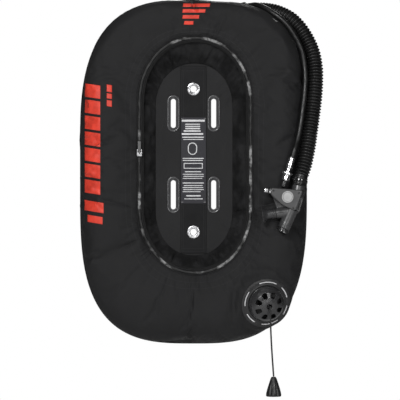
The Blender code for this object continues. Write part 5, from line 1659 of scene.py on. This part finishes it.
def make_inflator():
    """The inflator: its dark body with the tube stubs, the grey cover in front, and what sits in them."""
    exhaust = place(EXHAUST_END, EXHAUST_AXIS)
    mouth = place(MOUTH_ROOT, MOUTH_AXIS)
    hose_end = Vector(INFLATOR_HOSE_ROUTE[-1])
    boss = place(hose_end, hose_end - Vector(INFLATOR_HOSE_ROUTE[-2]))
    back = flat_shape("inflator_body", [rounded(BACK, 3.5 * MM, 6, closed=True)], INFLATOR_Y + 0.15 * MM,
                      INFLATOR_Y + 12.5 * MM, BODY_NYLON, 2.2 * MM)

    def tubes(shape):
        rod_form(shape, 11.8 * MM, -42 * MM, 0, exhaust)
        rod_form(shape, 10.2 * MM, -24 * MM, 0, mouth)
        rod_form(shape, 12.6 * MM, 0.3 * MM, 22 * MM, boss)
        for height in (-8.5 * MM, -11.5 * MM):
            rod_form(shape, 12.1 * MM, height, height + 1.4 * MM, exhaust, 72, 0.4 * MM)

    stubs = form_object("inflator_tubes", tubes)
    whole = bmesh.new()
    for part in (back, stubs):
        whole.from_mesh(part.data)
    whole.to_mesh(back.data)
    whole.free()
    bpy.data.objects.remove(stubs)
    remeshed(back, BODY_NYLON, 0.5 * MM, 6)
    room = flat_shape("cover_room", [[tuple(p) for p in grown(HEAD, 0.6 * MM)]], INFLATOR_Y - 40 * MM,
                      INFLATOR_Y + 0.1 * MM, BLACK_NYLON)
    cut_with(back, room, rod_cutter("exhaust_bore", 9.2 * MM, -38 * MM, 5 * MM, exhaust),
             rod_cutter("mouth_bore", 6.5 * MM, -22 * MM, 5 * MM, mouth))
    back.data.materials.clear()
    back.data.materials.append(BODY_NYLON)
    smooth(back, 35)
    piece(back, "nylon", "inflator_body")

    inflate = place(INFLATE_FACE, INFLATE_AXIS)
    badge = place(BADGE_AT, (0, -1, 0))
    cover = flat_shape("inflator_cover", [rounded(HEAD, 6 * MM, 8, closed=True)], INFLATOR_Y - 14.5 * MM,
                       INFLATOR_Y - 0.15 * MM, GREY_NYLON, 2.4 * MM)
    remeshed(cover, GREY_NYLON, 0.45 * MM, 6)
    cut_with(cover, rod_cutter("button_bore", 5.3 * MM, -22 * MM, 8 * MM, inflate),
             rod_cutter("badge_room", 11.6 * MM, 13.6 * MM, 20 * MM, badge))
    cover.data.materials.clear()
    cover.data.materials.append(GREY_NYLON)
    smooth(cover, 35)
    piece(cover, "grey_nylon", "inflator_cover")
    disc = turned("cover_badge", in_mm((0, 14.9), (10.6, 14.9), (11.2, 14.5), (11.2, 13.9), (0, 13.9)),
                  badge, DISC, 96, edge=0.15 * MM)
    piece(disc, "light_disc", "cover_badge")
    rim = turned("badge_rim", in_mm((8.6, 14.8), (8.6, 15.1), (9.3, 15.1), (9.3, 14.8)),
                 badge, GREY_NYLON, 96, ring=True, edge=0.08 * MM)
    piece(rim, "grey_nylon")
    make_screws()
    make_mouthpiece(mouth)
    make_inflate_button(inflate)
    make_exhaust(exhaust)


def grown(outline, distance):
    """A convex outline with each corner moved away from its middle by distance."""
    points = [Vector(point) for point in outline]
    middle = sum(points, Vector((0, 0))) / len(points)
    return [tuple(point + (point - middle).normalized() * distance) for point in points]


def make_screws():
    """Three small countersunk screws with crossed recesses that hold the cover to the body."""
    for number, (x, z) in enumerate(((0.1545, -0.0590), (0.2035, -0.0640), (0.1925, -0.0925))):
        where = place((x, INFLATOR_Y - 14.5 * MM, z), (0, -1, 0))
        head = turned(f"cover_screw_{number}", in_mm((0, 0.5), (1.2, 0.45), (1.9, 0.1), (1.9, -0.4),
                (0, -0.4)), where, BLACK_NYLON, 32, edge=0.1 * MM)
        bars = []
        for turn in (0.4, 0.4 + math.pi / 2):
            spin = where @ Matrix.Rotation(turn, 4, 'Z') @ Matrix.Translation((0, 0, 0.6 * MM))
            bars.append(chamfered_box("screw_slot", (2.4 * MM, 0.45 * MM, 0.9 * MM), 0.05 * MM, spin,
                                      BLACK_NYLON))
        cut_with(head, *bars)
        smooth(head, 35)
        piece(head, "nylon")


def make_mouthpiece(where):
    """The soft rubber mouthpiece: a ringed neck, a waist and a wide thin flange."""
    rubber = turned("mouthpiece", in_mm((6.5, 24), (11.5, 25.6), (17.0, 27.6), (17.6, 26.9), (17.2, 26.0),
            (14.2, 22.6), (11.2, 19.4), (9.6, 16.6), (9.1, 12), (9.1, 8.4), (9.7, 7.6), (9.7, 5.8),
            (9.2, 5.2), (9.2, 4.2), (9.7, 3.6), (9.7, 0.3), (6.5, 0.3)), where, MOUTH_RUBBER, 120,
            ring=True, edge=0.7 * MM)
    piece(rubber, "rubber", "mouthpiece")


def make_inflate_button(where):
    guard = turned("inflate_guard", in_mm((5.5, 5.4), (6.8, 5.5), (7.2, 5.0), (7.2, 1.6), (5.5, 1.6)),
                   where, BLACK_NYLON, 96, ring=True, edge=0.35 * MM)
    piece(guard, "nylon", "inflate_guard")
    button = turned("inflate_button", in_mm((0, 11.9), (2.2, 12.1), (3.4, 12.5), (4.5, 11.6), (4.9, 9.8),
            (4.9, 8.0), (4.5, 7.6), (4.5, 7.0), (4.9, 6.6), (4.9, -9), (0, -9)), where, CHROME, 96,
            edge=0.4 * MM)
    piece(button, "chromed_brass", "inflate_button", body="inflate")


def make_exhaust(where):
    """The guard's eight fingers round the deflate button, at the end of the lower tube."""
    guard = turned("exhaust_guard", in_mm((9.0, 7.3), (11.4, 7.5), (12.2, 6.6), (12.2, 0.4), (9.0, 0.3)),
                   where, BLACK_NYLON, 128, ring=True, edge=0.5 * MM)
    bars = []
    for i in range(4):
        turn = Matrix.Rotation(math.pi * (i + 0.5) / 4, 4, 'Z')
        spot = where @ turn @ Matrix.Translation((0, 0, 6.6 * MM))
        bars.append(chamfered_box("finger_gap", (40 * MM, 4.6 * MM, 6 * MM), 0.8 * MM, spot, BLACK_NYLON))
    cut_with(guard, *bars)
    smooth(guard, 35)
    piece(guard, "nylon", "exhaust_guard")
    button = turned("deflate_button", in_mm((0, 8.2), (3.0, 8.1), (6.6, 7.8), (8.0, 7.0), (8.3, 6.2),
            (8.3, 2.4), (1.8, 2.4), (1.8, -19), (0, -19)), where, CHROME, 96, edge=0.4 * MM)
    piece(button, "chromed_brass", "deflate_button", body="deflate")


def make_coupling():
    """The quick coupling: nipple, socket, sliding collar with its knurled grip, and the hose's ferrule."""
    where = place(QD_FOOT, QD_AXIS)
    length = (Vector(LP_HOSE_ROUTE[0]) - QD_FOOT).length
    nipple = turned("coupling_nipple", in_mm((0, 22), (3.4, 22), (3.4, 13), (6.4, 12), (6.6, 11),
            (6.6, 1.6), (0, 1.6)), where, BLACK_NYLON, 72, edge=0.3 * MM)
    piece(nipple, "nylon", "qd_nipple")
    socket = turned("coupling_socket", in_mm((0, 38), (5.6, 38), (5.6, 33.4), (5.2, 33.0), (5.6, 32.6),
            (5.6, 14), (3.8, 14), (3.8, 23), (0, 23)), where, CHROME, 72, edge=0.2 * MM)
    piece(socket, "chromed_brass", "qd_socket")

    def knurled(angle, height):
        if not 26.8 * MM < height < 30 * MM:
            return 1
        return 1 - 0.018 * (0.5 + 0.5 * math.cos(angle * 40))

    collar = turned("coupling_collar", in_mm((5.9, 31.5), (9.4, 31.5), (10.8, 30.4), (11, 29.6),
            (11, 27.2), (10.6, 26.4), (8.4, 25.2), (8, 24), (8, 18.6), (8.4, 17.8), (8.4, 15.6),
            (7.6, 14.5), (5.9, 14.5)), where, CHROME, 200, ring=True, edge=0.4 * MM, shape=knurled)
    piece(collar, "chromed_brass", "qd_collar", body="collar")
    ferrule = turned("hose_ferrule", [
        (0, length - 0.3 * MM), (6.3 * MM, length - 0.3 * MM), (6.8 * MM, length - 4 * MM),
        (6.8 * MM, length - 6.4 * MM), (6.2 * MM, length - 7.0 * MM), (6.2 * MM, length - 8.4 * MM),
        (6.8 * MM, length - 9.0 * MM), (6.8 * MM, 42 * MM), (5.4 * MM, 38.3 * MM), (0, 38.3 * MM),
    ], where, CHROME, 72, edge=0.3 * MM)
    piece(ferrule, "chromed_brass", "hose_ferrule")
    return [socket, collar, ferrule]


# ---------------------------------------------------------------- prints and tacks on the cloth
def surface_tree(obj):
    shape = bmesh.new()
    shape.from_mesh(obj.data)
    made = BVHTree.FromBMesh(shape)
    shape.free()
    return made


def on_cloth(tree, x, z, lift):
    """The point on the front cloth at x, z, lifted along its normal."""
    hit, normal, _, _ = tree.ray_cast(Vector((x, -0.2, z)), Vector((0, 1, 0)))
    if hit is None:
        return None
    if normal.y > 0:
        normal = -normal
    return hit + normal * lift


def printed_bar(tree, name, centre, angle, length, height, look, slot_name, skew=0.0):
    """A plain printed bar that follows the cloth, a film 0.15 mm proud of it."""
    c, s = math.cos(angle), math.sin(angle)
    columns, rows = max(3, round(length / (1.5 * MM))), max(3, round(height / (1.2 * MM)))
    grid = np.zeros((columns + 1, rows + 1, 3))
    for i in range(columns + 1):
        for j in range(rows + 1):
            up = (j / rows - 0.5) * height
            along = (i / columns - 0.5) * length + skew * up
            spot = on_cloth(tree, centre[0] + along * c - up * s, centre[1] + along * s + up * c, 0.15 * MM)
            if spot is None:
                return None
            grid[i, j] = spot
    obj = grid_object(name, grid, look, closed_around=False)
    shape = bmesh.new()
    shape.from_mesh(obj.data)
    facing = sum((face.normal.y for face in shape.faces))
    if facing > 0:
        bmesh.ops.reverse_faces(shape, faces=shape.faces)
    shape.to_mesh(obj.data)
    shape.free()
    thicken(obj, 0.12 * MM)
    return piece(obj, slot_name)


def make_prints(shell):
    """Plain generic bars where the real wing is lettered."""
    tree = surface_tree(shell)
    rows = (
        ((6, 301, 52, 7), (1, 289.5, 44, 7), (-5, 278, 32, 7), (-9, 266.5, 18, 7)),
        tuple((-196, z, 26, 31) for z in (134, 103, 72, 41, 10, -21, -52)) + ((-193, -90, 20, 38), (-191,
                -115, 14, 30)),
        ((-163, 139, 14, 10), (-163, 124, 10, 10), (-163, 110, 12, 10)),
    )
    for name, bars in zip(("top", "side", "inner"), rows):
        for number, (x, z, length, height) in enumerate(bars):
            size = (length * MM, height * MM)
            turn = 0.0
            if name != "top":
                size, turn = (length * MM, height * MM), math.pi / 2
            printed_bar(tree, f"{name}_print_{number}", (x * MM, z * MM), turn, *size, RED_PRINT,
                        "light_disc", 0.16)
    return tree


def make_tacks(tree):
    """The light bar tack on the right shoulder."""
    spot = on_cloth(tree, 0.158, 0.2725, 0.15 * MM)
    if spot is not None:
        bar_tack("shoulder_tack", spot, (0.1, -1, 0.25), (0.82, 0, -0.57), 11 * MM, 1.8 * MM)


# ---------------------------------------------------------------- what the CAD model shows as it is
def finish_cad_nodes():
    """Every CAD node that is still shown gets its procedural material."""
    looks = {
        "bladder": FILM, "panel_rear": PANEL_CLOTH, "valve_port": BLACK_NYLON, "valve_seal": RUBBER,
        "valve_poppet": BLACK_NYLON, "valve_spring": STEEL, "elbow_port": BLACK_NYLON,
        "inflate_spring": STEEL,
        "deflate_spring": STEEL, "exhaust_seat": BLACK_NYLON, "exhaust_disc": RUBBER,
        "eyelet_washer_upper": STEEL, "eyelet_washer_lower": STEEL,
    }
    for node, look in looks.items():
        data = NODES[node].data
        data.materials.clear()
        data.materials.append(look)


def main():
    make_camera()
    make_studio()
    make_inflator_hose()
    coupling = make_coupling()
    make_lp_hose(make_lp_end())
    make_pull_cord()
    wing = make_wing()
    make_zip()
    make_seams(wing)
    make_panel()
    make_strap()
    make_label()
    make_slots()
    make_eyelets()
    make_slider()
    make_valve()
    make_elbow()
    make_retainer()
    make_inflator()
    tree = make_prints(wing["front_object"])
    make_tacks(tree)
    finish_cad_nodes()


main()
